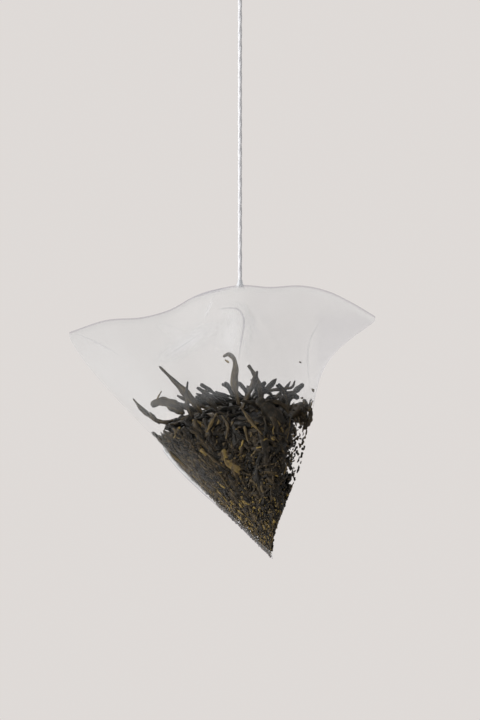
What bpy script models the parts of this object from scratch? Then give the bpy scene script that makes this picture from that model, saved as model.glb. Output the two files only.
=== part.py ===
"""Pyramid tea bag: a tetrahedral bag of fine see-through mesh film with loose leaf tea, hung on a thread.

The bag is a tube of film closed by two welded seams that lie crosswise. The thread is caught in the upper
seam. The tea has slid to the front end of the lower seam, which is the lowest corner. The loop at the top
of the thread is what the bag hangs by: its inner crest is the origin. +X is to the right, +Y is away from
the front and +Z is up. Lengths are in metres.
"""

import math

import bmesh
import bpy
import numpy as np
from mathutils import Vector, noise

MM = 0.001

# Film and seams
SEAM_WIDTH = 60.0 * MM          # flat width of the film tube, the length of each seam
FILM_WALL = 0.20 * MM           # film, drawn thicker than the real 0.07 mm
WELD_HEIGHT = 0.8 * MM          # welded strip along each seam
WELD_THICKNESS = 0.4 * MM       # two layers of film melted together
LAYER_GAP = 0.12 * MM           # half of the least space between the two layers in the flat corners
FILM_COLUMNS = 52               # round the bag, a multiple of four
FILM_ROWS = 22                  # from the upper seam to the lower one

# Fit between neighbours
CLEARANCE = 0.3 * MM

# Thread
THREAD_DIAMETER = 0.7 * MM
THREAD_IN_WELD = 2.0 * MM       # length of thread that is caught in the upper seam
THREAD_FREE = 51.5 * MM         # from the upper seam to the knot
KNOT_SIZE = 0.83 * THREAD_DIAMETER      # scale of the overhand knot, about a sixth of its width
KNOT_DEPTH = 1.1 * THREAD_DIAMETER      # how far its strands weave to the front and to the back
KNOT_POINTS = 36
LOOP_HEIGHT = 8.0 * MM          # inside, from the knot to the crest
LOOP_WIDTH = 4.0 * MM           # inside
PUCKER_HEIGHT = 2.6 * MM        # film gathered round the thread
PUCKER_WALL = 0.25 * MM

# Tea
TEA_DEPTH = 20.5 * MM           # top of the heap below the place where the thread meets the seam
HEAP_CENTRE_X = 2.0 * MM
HEAP_CENTRE_Y = 2.0 * MM
HEAP_FALL = 6.0 * MM            # how far the heap falls away from its crest
HEAP_REACH_X = 15.0 * MM        # distance over which it does most of that
HEAP_REACH_Y = 21.0 * MM
TEA_LAST_START = 0.92           # lowest place down the bag, as a share, where the tea's side may begin
HEAP_COLUMNS = 68               # round the heap, a multiple of four
HEAP_ROWS = 19
HEAP_RINGS = 5
HEAP_HOLLOWS = 0.25 * MM        # depth of the hollows in the top of the heap
BARE_RIGHT = 2.0 * MM           # strip down the right edge of the film where only crumbs lie

# Leaves pressed against the film, all over the sides of the packed tea. Their pattern steps evenly down
# the bag and round it by the golden section.
BED_LEAVES = 130
BED_FIRST = 0.34                # places down the bag, as shares, of the first and the last
BED_LAST = 0.96
BED_LEAF_LENGTH = 7.0 * MM
BED_LEAF_WIDTH = 2.2 * MM
BED_LEAF_RELIEF = 0.9 * MM      # how far a leaf's back stands out of the hollows beside it

# Section and length of every single leaf
LEAF_SIDES = 6
LEAF_STEPS = 8
LEAF_FOOT = 0.36                # radius of a leaf at its foot, as a share of its full width

# Shape of the seams in the hanging bag, as fractions of the seam width, from where the thread leaves.
# The upper seam runs from the left corner to the right one, the lower seam from the front to the back.
UPPER_SEAM = (
    (-0.493, -0.100, -0.137), (-0.392, -0.077, -0.103), (-0.275, -0.023, -0.092),
    (-0.200, 0.015, -0.070), (-0.133, 0.027, -0.033), (-0.067, 0.015, -0.012),
    (0.000, 0.000, 0.000), (0.083, 0.012, 0.001), (0.175, 0.050, -0.003),
    (0.258, 0.110, -0.018), (0.322, 0.160, -0.048), (0.395, 0.217, -0.090),
)
LOWER_SEAM = (
    (0.093, -0.300, -0.788), (-0.018, -0.067, -0.683), (-0.115, 0.183, -0.600),
    (-0.182, 0.400, -0.538), (-0.227, 0.575, -0.487),
)

# Where the girth swells or draws in: place round the bag, spread, place down the bag, spread, and the
# push there as a fraction of the seam width. Round the bag, 0 is right, 0.25 back, 0.5 left, 0.75 front.
SWELLS = (
    (0.90, 0.12, 0.70, 0.26, (0.043, -0.010, 0.0)),
    (0.75, 0.13, 0.42, 0.28, (0.0, -0.075, 0.0)),
    (0.25, 0.14, 0.42, 0.28, (0.0, 0.075, 0.0)),
    (0.40, 0.09, 0.46, 0.24, (0.018, 0.0, 0.0)),
)
GIRTH_SPREAD = 0.09             # rounding out of the sides halfway down
CORNER_PINCH = 0.047            # how far the flat right corner draws in, as a fraction of the seam width

# Soft folds: which layer, points across and down as fractions of the seam width, width and height.
FOLDS = (
    ("front", ((-0.070, -0.073), (-0.035, -0.067), (-0.007, -0.072), (0.008, -0.093),
               (0.008, -0.140), (0.003, -0.165), (-0.003, -0.217)), 1.1 * MM, 0.9 * MM),
    ("front", ((-0.075, -0.035), (-0.090, -0.067), (-0.102, -0.102)), 1.2 * MM, 0.5 * MM),
    ("front", ((-0.095, -0.128), (-0.130, -0.153), (-0.173, -0.183), (-0.228, -0.218)), 1.8 * MM, 0.8 * MM),
    ("front", ((-0.478, -0.140), (-0.412, -0.168), (-0.348, -0.203)), 1.5 * MM, 0.4 * MM),
    ("front", ((0.235, -0.102), (0.203, -0.160), (0.197, -0.250), (0.203, -0.298)), 1.6 * MM, 0.7 * MM),
    ("back", ((0.010, -0.060), (0.070, -0.130), (0.110, -0.230)), 1.8 * MM, 0.8 * MM),
    ("back", ((-0.040, -0.070), (-0.120, -0.160), (-0.220, -0.230)), 1.8 * MM, 0.8 * MM),
)

# Leaves and stems that stand out of the heap. Each has its foot across and back as fractions of the seam
# width, then the points of its middle line from the foot and its width in leaf units, its thickness as a
# share of that width, its turns along the length and its colour.
LEAF_UNIT = 1.0 * MM            # leaf unit: a larger one makes all of these leaves larger
LEAVES = (
    ("leaf_pointed", (-0.113, -0.108), ((0, 0, 0), (-1.6, 0.5, 2.2), (-3.6, 1.2, 4.4), (-5.3, 1.8, 6.1),
                                        (-7.2, 2.4, 8.0)), 1.25, 0.45, 0.15, "leaf"),
    ("stem_knobby", (-0.135, -0.138), ((0, 0, 0), (-0.9, 0.6, 1.6), (-1.2, 1.4, 3.9), (-1.0, 2.0, 6.2)),
     0.80, 0.85, 0.5, "leaf"),
    ("leaf_arched", (-0.066, -0.145), ((0, 0, 0), (-1.0, 0.1, 1.5), (-2.2, 0.3, 2.5), (-3.7, 0.5, 3.1)),
     0.90, 0.60, 0.3, "leaf"),
    ("leaf_hooked", (-0.010, -0.105), ((0, 0, 0), (-0.6, 0.2, 2.2), (-0.8, 0.4, 4.4), (-0.6, 0.6, 6.6),
                                       (-1.0, 0.8, 8.1), (-1.9, 0.9, 8.7), (-2.7, 1.0, 8.3)),
     1.30, 0.55, 0.35, "leaf"),
    ("leaf_crossed_left", (0.008, -0.150), ((0, 0, 0), (0.9, 0.4, 2.0), (1.9, 0.9, 4.4), (2.6, 1.3, 6.4)),
     0.85, 0.70, 0.4, "leaf"),
    ("leaf_crossed_right", (0.060, -0.115), ((0, 0, 0), (-0.4, 0.4, 3.0), (-1.2, 0.8, 5.4),
                                             (-2.2, 1.1, 7.0)), 0.80, 0.70, 0.4, "leaf"),
    ("stem_level", (0.052, -0.055), ((0, 0, 0), (0.9, -0.1, 1.6), (2.6, -0.3, 2.1), (4.6, -0.4, 2.3),
                                     (6.1, -0.5, 2.7), (6.5, -0.5, 3.7)), 0.70, 0.80, 0.4, "stem"),
    ("stem_dark_tip", (0.137, -0.100), ((0, 0, 0), (0.1, 0.1, 1.5), (-0.5, 0.2, 3.0), (-1.7, 0.3, 4.4)),
     0.65, 0.80, 0.2, "stem"),
    ("leaf_far_right", (0.118, -0.015), ((0, 0, 0), (1.0, 0.1, 0.9), (2.2, 0.3, 1.2), (3.2, 0.6, 0.7)),
     1.60, 0.35, 0.10, "leaf"),
    ("leaf_far_left", (-0.235, 0.075), ((0, 0, 0), (-1.6, 0.9, 1.2), (-3.2, 1.7, 2.6), (-4.6, 2.4, 4.3)),
     0.80, 0.70, 0.4, "leaf"),
    ("leaf_striped", (-0.165, 0.020), ((0, 0, 0), (-1.7, 0.5, 1.2), (-3.8, 1.2, 2.0), (-5.6, 2.0, 1.5)),
     1.75, 0.40, 0.10, "leaf"),
    ("stem_low_left", (-0.195, -0.030), ((0, 0, 0), (-1.4, 0.6, -0.3), (-2.8, 1.3, 0.1), (-4.0, 1.9, 1.4)),
     0.70, 0.80, 0.3, "stem"),
)

# The rest of the leaves on the heap lie on a sunflower pattern, each turned a little further round.
HEAP_PLACES = 300               # places in the pattern, of which the first with room take a leaf
HEAP_LEAVES = 30                # leaves that the pattern holds
HEAP_LEAF_SPREAD = 0.40         # radius of the pattern front to back, as a fraction of the seam width
HEAP_LEAF_SQUASH = 0.52         # the pattern is narrower from left to right
HEAP_LEAF_LENGTH = 5.4 * MM
HEAP_LEAF_WIDTH = 0.95 * MM
HEAP_LEAF_TILT = 0.45           # mean angle above the level, in radians
HEAP_LEAF_SWAY = 0.25           # how much that angle varies
HEAP_LEAF_BEND = 0.4            # turn from foot to tip, to one side and the other by turns
GOLDEN_ANGLE = math.pi * (3.0 - math.sqrt(5.0))
GOLDEN_SHARE = (math.sqrt(5.0) - 1.0) / 2.0

UP = np.array((0.0, 0.0, 1.0))
THREAD_RADIUS = THREAD_DIAMETER / 2
THREAD_BORE = THREAD_RADIUS + CLEARANCE
KNOT_HEIGHT = 5.0625 * KNOT_SIZE + THREAD_DIAMETER
SEAM_TOP_Z = -(LOOP_HEIGHT + THREAD_DIAMETER + KNOT_HEIGHT + 2 * CLEARANCE + THREAD_FREE)
SEAM_POINT = np.array((0.0, 0.0, SEAM_TOP_Z))
FILM_LENGTH = 0.867 * SEAM_WIDTH    # from seam to seam along the film, as in a regular tetrahedron


def curve_through(points, share):
    """Smooth curve through points, read at shares of its chord length from 0 to 1."""
    points = np.asarray(points, dtype=float)
    steps = np.linalg.norm(np.diff(points, axis=0), axis=1)
    knots = np.concatenate(([0.0], np.cumsum(steps))) / steps.sum()
    slopes = np.gradient(points, knots, axis=0)
    share = np.asarray(share, dtype=float)
    i = np.clip(np.searchsorted(knots, share, side="right") - 1, 0, len(knots) - 2)
    span = (knots[i + 1] - knots[i])[..., None]
    f = np.clip((share - knots[i])[..., None] / span, 0.0, 1.0)
    start = (2 * f ** 3 - 3 * f ** 2 + 1) * points[i] + (f ** 3 - 2 * f ** 2 + f) * span * slopes[i]
    end = (3 * f ** 2 - 2 * f ** 3) * points[i + 1] + (f ** 3 - f ** 2) * span * slopes[i + 1]
    return start + end


def signed_power(value, power):
    return np.sign(value) * np.abs(value) ** power


def ease(value, start, end):
    """Rises smoothly from 0 at start to 1 at end."""
    f = np.clip((value - start) / (end - start), 0.0, 1.0)
    return f * f * (3.0 - 2.0 * f)


def unit(vectors):
    return vectors / np.linalg.norm(vectors, axis=-1, keepdims=True)


def seam_line(fractions, place):
    """Point of a seam: place runs from -1 at its first corner to 1 at its last, and straight on beyond."""
    fractions = np.asarray(fractions)
    inside = np.clip(place, -1.0, 1.0)
    beyond = (place - inside)[..., None] * (fractions[-1] - fractions[0]) / 2
    return SEAM_POINT + SEAM_WIDTH * (curve_through(fractions, (inside + 1.0) / 2) + beyond)


def across_seam(fractions, place, side):
    """Level direction square to a seam, side being 1 or -1 for the way it points."""
    step = 0.02
    inside = np.clip(place, step - 1.0, 1.0 - step)
    run = seam_line(fractions, inside + step) - seam_line(fractions, inside - step)
    return unit(side * np.cross(UP, run))


def fold_height(points, line, width, height):
    """Ridge along a line seen from the front, bell-shaped across and fading at both ends."""
    count = 24
    share = np.linspace(0.0, 1.0, count)
    flat = curve_through(np.asarray(line) * SEAM_WIDTH, share)
    fade = np.sin(np.pi * (0.08 + 0.84 * share))
    dx = points[..., 0, None] - (SEAM_POINT[0] + flat[:, 0])
    dz = points[..., 2, None] - (SEAM_POINT[2] + flat[:, 1])
    return height * (fade * np.exp(-(dx ** 2 + dz ** 2) / width ** 2)).max(axis=-1)


def film(around, down):
    """Inner face of the film. around goes once round the girth, down goes from seam to seam, both 0 to 1.

    Each point lies on the line from a point of the upper seam to a point of the lower one. As the girth
    goes round, the first point runs left and right and the second one front and back, a quarter turn
    apart, which gives the tetrahedron. Swells, the pinched right corner and the folds are added to it.
    """
    around, down = np.broadcast_arrays(np.asarray(around, dtype=float), np.asarray(down, dtype=float))
    cos, sin = np.cos(2 * np.pi * around), np.sin(2 * np.pi * around)
    flat_right = 1.8 - 1.1 * ease(down, 0.05, 0.42)
    flat_left = 1.5 - 0.8 * ease(down, 0.02, 0.35)
    rightness = 0.5 + 0.5 * np.tanh(cos / 0.35)
    spread = 1.0 + GIRTH_SPREAD * 4 * down * (1.0 - down)
    across = signed_power(cos, 0.8) * spread
    depth = signed_power(sin, flat_left + (flat_right - flat_left) * rightness) * spread
    upper = seam_line(UPPER_SEAM, across) - WELD_HEIGHT * UP
    lower = seam_line(LOWER_SEAM, depth) + WELD_HEIGHT * UP
    upper = upper + LAYER_GAP * signed_power(sin, 0.5)[..., None] * across_seam(UPPER_SEAM, across, 1)
    lower = lower + LAYER_GAP * signed_power(cos, 0.5)[..., None] * across_seam(LOWER_SEAM, depth, -1)
    points = upper + (lower - upper) * down[..., None]
    pinch = CORNER_PINCH * SEAM_WIDTH * ((down / 0.25) * np.exp(1.0 - down / 0.25)) ** 1.3
    pinch = pinch * np.clip(across, 0.0, None) ** 1.5
    points = points - pinch[..., None] * np.array((1.0, 0.3, 0.0))
    held = np.clip(down / 0.12, 0.0, 1.0) * np.clip((1.0 - down) / 0.10, 0.0, 1.0)
    for place, width, level, height, push in SWELLS:
        apart = (around - place + 0.5) % 1.0 - 0.5
        amount = held * np.exp(-(apart / width) ** 2 - ((down - level) / height) ** 2)
        points = points + SEAM_WIDTH * amount[..., None] * np.array(push)
    ridge = np.zeros(around.shape)
    room = np.clip(down / 0.06, 0.0, 1.0)
    for layer, line, width, height in FOLDS:
        side = -1.0 if layer == "front" else 1.0
        layer_weight = ease(side * sin, 0.05, 0.35)
        ridge = ridge + side * layer_weight * room * fold_height(points, line, width, height)
    points = points + ridge[..., None] * np.array((0.0, 1.0, 0.0))
    return points


def outward(grid):
    """Outward direction at each point of a grid whose rows go down and whose columns close round."""
    around = np.roll(grid, -1, axis=1) - np.roll(grid, 1, axis=1)
    down = np.gradient(grid, axis=0)
    return unit(np.cross(down, around))


def closed_tube(name, grid, material, collection):
    """Tube through the rows of a grid, each end closed flat across its row.

    The first row is closed from front to back and the last from right to left, as the two seams are.
    """
    rows, columns = grid.shape[:2]
    mesh = bmesh.new()
    verts = [[mesh.verts.new(point) for point in row] for row in grid]
    for upper, lower in zip(verts, verts[1:]):
        for i in range(columns):
            j = (i + 1) % columns
            mesh.faces.new((upper[i], lower[i], lower[j], upper[j]))
    close_across(mesh, verts[0], 0)
    close_across(mesh, verts[-1], columns // 4)
    return finish_mesh(name, mesh, material, collection)


def close_across(mesh, ring, first):
    """Closes a flat ring with strips between the points that face each other about the first one."""
    columns = len(ring)
    for i in range(columns // 2):
        corners = [ring[(first + i) % columns], ring[(first + i + 1) % columns],
                   ring[(first - i - 1) % columns], ring[(first - i) % columns]]
        corners = list(dict.fromkeys(corners))
        mesh.faces.new(corners)


def finish_mesh(name, mesh, material, collection):
    bmesh.ops.recalc_face_normals(mesh, faces=mesh.faces)
    if mesh.calc_volume(signed=True) < 0.0:
        bmesh.ops.reverse_faces(mesh, faces=mesh.faces)
    data = bpy.data.meshes.new(name)
    mesh.to_mesh(data)
    mesh.free()
    data.shade_smooth()
    data.materials.append(material)
    item = bpy.data.objects.new(name, data)
    collection.objects.link(item)
    return item


def make_material(name, colour, roughness, alpha=1.0):
    material = bpy.data.materials.new(name)
    material.use_nodes = True
    shader = material.node_tree.nodes["Principled BSDF"]
    shader.inputs["Base Color"].default_value = (*colour, 1.0)
    shader.inputs["Roughness"].default_value = roughness
    shader.inputs["Alpha"].default_value = alpha
    material.diffuse_color = (*colour, alpha)
    return material


def add_modifier_cut(item, cutter, operation):
    cut = item.modifiers.new(cutter.name, "BOOLEAN")
    cut.operation = operation
    cut.object = cutter
    cut.solver = "EXACT"


def upright_cone(name, low_radius, high_radius, low_z, high_z, sides, material, collection):
    mesh = bmesh.new()
    bmesh.ops.create_cone(mesh, cap_ends=True, segments=sides, radius1=low_radius, radius2=high_radius,
                          depth=high_z - low_z)
    item = finish_mesh(name, mesh, material, collection)
    item.location = (SEAM_POINT[0], SEAM_POINT[1], (low_z + high_z) / 2)
    return item


def weld_rows(fractions, place, side, weight, edge_first):
    """Two rows of a welded strip, its outer edge and its inner one, to one side of the seam line."""
    edge = seam_line(fractions, place)
    half = WELD_THICKNESS / 2 * weight[:, None] * across_seam(fractions, place, side)
    inward = -UP if edge_first else UP
    rows = [edge + half, edge + half + WELD_HEIGHT * inward]
    return rows if edge_first else rows[::-1]


def make_bag(material, collection, cutters):
    """Film with its two welded seams, hollow, and open where the thread goes in."""
    around = np.arange(FILM_COLUMNS) / FILM_COLUMNS
    down = np.linspace(0.015, 0.985, FILM_ROWS)
    inside = film(around[None, :], down[:, None])
    outside = inside + FILM_WALL * outward(inside)
    cos, sin = np.cos(2 * np.pi * around), np.sin(2 * np.pi * around)
    upper = weld_rows(UPPER_SEAM, signed_power(cos, 0.8), 1, signed_power(sin, 0.3), True)
    lower = weld_rows(LOWER_SEAM, signed_power(sin, 0.7), -1, signed_power(cos, 0.3), False)
    skin = np.concatenate((upper, outside, lower))
    bag = closed_tube("mesh_bag", skin, material, collection)
    cavity = closed_tube("bag_inside", inside, material, cutters)
    pucker_wide = THREAD_BORE + 2 * PUCKER_WALL
    pucker_narrow = THREAD_BORE + PUCKER_WALL
    pucker = upright_cone("pucker", pucker_wide, pucker_narrow, SEAM_TOP_Z - PUCKER_HEIGHT * 0.8,
                          SEAM_TOP_Z + PUCKER_HEIGHT * 0.2, 16, material, cutters)
    bore = upright_cone("thread_passage", THREAD_BORE, THREAD_BORE, SEAM_TOP_Z - PUCKER_HEIGHT * 1.3,
                        SEAM_TOP_Z + PUCKER_HEIGHT, 14, material, cutters)
    for guide in (cavity, pucker, bore):
        guide.hide_render = True
        guide.display_type = "WIRE"
    add_modifier_cut(bag, pucker, "UNION")
    add_modifier_cut(bag, cavity, "DIFFERENCE")
    add_modifier_cut(bag, bore, "DIFFERENCE")
    return bag


def make_tube(name, points, radius, closed, material, collection):
    """Thread of round section along points, as a curve with filled ends."""
    curve = bpy.data.curves.new(name, "CURVE")
    curve.dimensions = "3D"
    curve.bevel_depth = radius
    curve.bevel_resolution = 2
    curve.use_fill_caps = True
    spline = curve.splines.new("POLY")
    spline.points.add(len(points) - 1)
    spline.points.foreach_set("co", np.column_stack((points, np.ones(len(points)))).ravel())
    spline.use_cyclic_u = closed
    curve.materials.append(material)
    item = bpy.data.objects.new(name, curve)
    collection.objects.link(item)
    return item


def knot_line():
    """Overhand knot drawn up tight, a trefoil that faces the front."""
    turn = 2 * np.pi * np.arange(KNOT_POINTS) / KNOT_POINTS
    x = KNOT_SIZE * (np.sin(turn) + 2 * np.sin(2 * turn))
    y = KNOT_DEPTH * np.sin(3 * turn)
    z = KNOT_SIZE * (2 * np.cos(2 * turn) - np.cos(turn))
    return np.column_stack((x, y, z))


def loop_line():
    """Egg-shaped loop whose inner crest is the origin."""
    turn = 2 * np.pi * np.arange(20) / 20
    half = (LOOP_WIDTH + THREAD_DIAMETER) / 2
    x = half * np.sin(turn) * (1.0 + 0.25 * np.cos(turn))
    z = THREAD_RADIUS - (LOOP_HEIGHT + THREAD_DIAMETER) * (1.0 - np.cos(turn)) / 2
    return np.column_stack((x, np.zeros(len(turn)), z))


def heap_top(x, y):
    """Height of the heap of tea, highest at its crest and falling away round it in a bell shape."""
    away = ((x - HEAP_CENTRE_X) / HEAP_REACH_X) ** 2 + ((y - HEAP_CENTRE_Y) / HEAP_REACH_Y) ** 2
    return SEAM_TOP_Z - TEA_DEPTH - HEAP_FALL * (1.0 - np.exp(-away))


def tea_wall(around, down):
    """Outer side of the tea, just inside the film, drawn in a little more at the two lower corners and by
    the bare strip down the right edge, which ends where the tea fills the lowest corner."""
    grid = film(around, down)
    middle = grid.mean(axis=1, keepdims=True)
    from_edge = grid[..., 0].max(axis=1, keepdims=True) - grid[..., 0]
    bare = (1.0 - ease(from_edge, 0.0, 2.5 * BARE_RIGHT)) * (1.0 - ease(down, 0.70, 0.90))
    inset = grid - CLEARANCE * 1.2 * outward(grid) + BARE_RIGHT * bare[..., None] * unit(middle - grid)
    return middle + (inset - middle) * 0.965


def leaf_backs(around, down):
    """Height of the leaves pressed against the film, from 0 in the hollows to 1 along a leaf's back.

    Each leaf is a ridge, bell-shaped across and full along most of its length, turned from the one before
    it by the golden angle.
    """
    girth = 2 * SEAM_WIDTH
    height = np.zeros(np.broadcast(around, down).shape)
    for i in range(BED_LEAVES):
        place = BED_FIRST + (BED_LAST - BED_FIRST) * (i + 0.5) / BED_LEAVES
        across = ((around - i * GOLDEN_SHARE + 0.5) % 1.0 - 0.5) * girth
        below = (down - place) * FILM_LENGTH
        cos, sin = math.cos(i * GOLDEN_ANGLE), math.sin(i * GOLDEN_ANGLE)
        along, beside = across * cos + below * sin, below * cos - across * sin
        ridge = np.exp(-(2 * along / BED_LEAF_LENGTH) ** 4 - (2 * beside / BED_LEAF_WIDTH) ** 2)
        height = np.maximum(height, ridge)
    return height


def make_tea_bed(material, collection):
    """Packed tea: the film's shape below the top of the heap, its sides made of the leaves pressed there."""
    around = np.arange(HEAP_COLUMNS) / HEAP_COLUMNS
    fine = np.linspace(0.1, 0.95, 240)
    wall = tea_wall(around[None, :], fine[:, None])
    below = wall[..., 2] < heap_top(wall[..., 0], wall[..., 1])
    below[fine > TEA_LAST_START] = True
    first = fine[np.argmax(below, axis=0)]
    share = np.linspace(0.0, 1.0, HEAP_ROWS)[:, None]
    down = first[None, :] + (fine[-1] - first[None, :]) * share
    side = np.empty((HEAP_ROWS, HEAP_COLUMNS, 3))
    for axis in range(3):
        for i in range(HEAP_COLUMNS):
            side[:, i, axis] = np.interp(down[:, i], fine, wall[:, i, axis])
    thin = 0.35 * SEAM_WIDTH / 2 * (1.0 - down)
    hollow = (1.0 - leaf_backs(around[None, :], down)) * np.minimum(BED_LEAF_RELIEF, thin)
    hollow[-1] = 0.0
    side = side - hollow[..., None] * outward(side)
    middle = side[0].mean(axis=0)
    mesh = bmesh.new()
    rings = []
    for step in range(1, HEAP_RINGS):
        ring = middle + (side[0] - middle) * step / HEAP_RINGS
        ring[:, 2] = heap_top(ring[:, 0], ring[:, 1]) - hollows(ring, HEAP_HOLLOWS)
        rings.append(ring)
    grid = np.concatenate((rings, side))
    verts = [[mesh.verts.new(point) for point in row] for row in grid]
    peak = mesh.verts.new((middle[0], middle[1], heap_top(middle[0], middle[1])))
    for i in range(HEAP_COLUMNS):
        j = (i + 1) % HEAP_COLUMNS
        mesh.faces.new((peak, verts[0][i], verts[0][j]))
        for upper, lower in zip(verts, verts[1:]):
            mesh.faces.new((upper[i], lower[i], lower[j], upper[j]))
    close_across(mesh, verts[-1], HEAP_COLUMNS // 4)
    return finish_mesh("tea_bed", mesh, material, collection)


def hollows(points, depth):
    """Uneven hollows of up to the given depth, about 3 mm apart, at each of an array of points."""
    pitch = 3.0 * MM
    flat = points.reshape(-1, 3) / pitch
    values = np.array([noise.noise(Vector(point)) for point in flat])
    return depth * np.clip(0.5 + 0.7 * values, 0.0, 1.0).reshape(points.shape[:-1])


def make_leaf(name, line, width, thickness, turns, material, collection):
    """Rolled leaf or stem: a flat section carried along a line, full near the foot and thin at the tip."""
    share = np.linspace(0.0, 1.0, LEAF_STEPS)
    centre = curve_through(line, share)
    along = unit(np.gradient(centre, axis=0))
    side = unit(np.cross(along, np.array((0.31, 0.85, 0.43))))
    normal = np.cross(along, side)
    size = (LEAF_FOOT + 0.45 * share - 0.685 * share ** 2) * width
    turn = 2 * np.pi * np.arange(LEAF_SIDES) / LEAF_SIDES
    roll = 2 * np.pi * turns * share[:, None]
    flat_x, flat_y = size[:, None] * np.cos(turn), size[:, None] * thickness * np.sin(turn)
    across = flat_x * np.cos(roll) - flat_y * np.sin(roll)
    upward = flat_x * np.sin(roll) + flat_y * np.cos(roll)
    grid = centre[:, None] + across[..., None] * side[:, None] + upward[..., None] * normal[:, None]
    mesh = bmesh.new()
    verts = [[mesh.verts.new(point) for point in row] for row in grid]
    for ring, after in zip(verts, verts[1:]):
        for i in range(LEAF_SIDES):
            j = (i + 1) % LEAF_SIDES
            mesh.faces.new((ring[i], ring[j], after[j], after[i]))
    mesh.faces.new(verts[0])
    mesh.faces.new(verts[-1])
    return finish_mesh(name, mesh, material, collection)


def standing_line(foot, steps, width):
    """Middle line of a leaf whose foot stands on the heap with its clearance."""
    x, y = foot[0] * SEAM_WIDTH, foot[1] * SEAM_WIDTH
    start = np.array((x, y, heap_top(x, y) + CLEARANCE + LEAF_FOOT * width))
    return start + np.array(steps) * LEAF_UNIT


def heap_line(index):
    """Middle line of one of the leaves in the sunflower pattern, leaning outwards and curved."""
    radius = HEAP_LEAF_SPREAD * SEAM_WIDTH * math.sqrt((index + 0.5) / HEAP_PLACES)
    angle = index * GOLDEN_ANGLE
    x = HEAP_CENTRE_X + radius * HEAP_LEAF_SQUASH * math.cos(angle)
    y = HEAP_CENTRE_Y + radius * math.sin(angle)
    share = np.linspace(0.0, 1.0, 5)
    heading = angle + 1.1 * math.sin(index * 2.3) + HEAP_LEAF_BEND * (-1) ** index * share
    tilt = HEAP_LEAF_TILT + HEAP_LEAF_SWAY * math.cos(index * 1.3)
    level = HEAP_LEAF_LENGTH * math.cos(tilt) * share
    line_x = x + level * np.cos(heading)
    line_y = y + level * np.sin(heading)
    foot_z = heap_top(x, y) + CLEARANCE + LEAF_FOOT * HEAP_LEAF_WIDTH
    line_z = foot_z + HEAP_LEAF_LENGTH * math.sin(tilt) * share
    return np.column_stack((line_x, line_y, line_z))


def film_samples():
    """Points all over the inside of the film and the outward direction at each."""
    around = np.arange(2 * FILM_COLUMNS) / (2 * FILM_COLUMNS)
    down = np.linspace(0.1, 0.9, 2 * FILM_ROWS)
    grid = film(around[None, :], down[:, None])
    return grid.reshape(-1, 3), outward(grid).reshape(-1, 3)


def nearest_film(points, samples):
    """How far inside the film each point lies, and the outward direction of the film nearest to it."""
    film_points, film_outward = samples
    to_film = film_points[None] - points[:, None]
    nearest = np.linalg.norm(to_film, axis=2).argmin(axis=1)
    away = film_outward[nearest]
    return (to_film[np.arange(len(points)), nearest] * away).sum(axis=1), away


def push_off_film(points, width, samples):
    """Level move that takes a leaf inwards where it comes too near the film."""
    inside, away = nearest_film(points, samples)
    worst = inside.argmin()
    lacking = width / 2 + 1.5 * CLEARANCE - inside[worst]
    return -(lacking + CLEARANCE) * away[worst, :2] if lacking > 0.0 else np.zeros(2)


def push_off_leaf(points, width, other, other_width):
    """Level move that takes a leaf away from an earlier one where it comes too near."""
    apart = points[:, None] - curve_through(other, np.linspace(0.0, 1.0, 16))[None]
    distance = np.linalg.norm(apart, axis=2)
    nearest = apart[np.unravel_index(distance.argmin(), distance.shape)]
    lacking = 0.45 * (width + other_width) + CLEARANCE - distance.min()
    return (lacking + CLEARANCE) * unit(nearest[:2]) if lacking > 0.0 else np.zeros(2)


def line_with_room(foot, steps, width, placed, samples):
    """Middle line of a standing leaf, its foot moved where it would come too near film or earlier leaves."""
    foot = np.array(foot)
    share = np.linspace(0.0, 1.0, 16)
    for _ in range(40):
        points = curve_through(standing_line(foot, steps, width), share)
        pushes = [push_off_leaf(points, width, other, other_width) for other, other_width in placed]
        push = sum(pushes, push_off_film(points, width, samples))
        if not push.any():
            break
        foot = foot + push / SEAM_WIDTH
    return standing_line(foot, steps, width)


def has_room(line, width, placed, samples):
    """Whether a leaf along a line stays clear of the leaves already placed, the heap and the film."""
    share = np.linspace(0.0, 1.0, 16)
    points = curve_through(line, share)
    if (points[:, 2] - heap_top(points[:, 0], points[:, 1])).min() < CLEARANCE + 0.35 * width:
        return False
    inside, _ = nearest_film(points, samples)
    if inside.min() < width / 2 + 2 * CLEARANCE:
        return False
    for other, other_width in placed:
        others = curve_through(other, share)
        apart = np.linalg.norm(points[:, None] - others[None], axis=2).min()
        if apart < (width + other_width) / 2 + CLEARANCE * 1.5:
            return False
    return True


def make_leaves(materials, collection):
    """Leaves that stand out of the heap, then the rest of the heap's leaves where there is room."""
    placed = []
    samples = film_samples()
    for name, foot, steps, width, thickness, turns, colour in LEAVES:
        line = line_with_room(foot, steps, width * LEAF_UNIT, placed, samples)
        make_leaf(name, line, width * LEAF_UNIT, thickness, turns, materials[colour], collection)
        placed.append((line, width * LEAF_UNIT))
    count = 0
    for index in range(HEAP_PLACES):
        line = heap_line(index)
        if count < HEAP_LEAVES and has_room(line, HEAP_LEAF_WIDTH, placed, samples):
            count += 1
            name = "heap_leaf_%02d" % count
            make_leaf(name, line, HEAP_LEAF_WIDTH, 0.55, 0.6, materials["leaf"], collection)
            placed.append((line, HEAP_LEAF_WIDTH))


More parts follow.
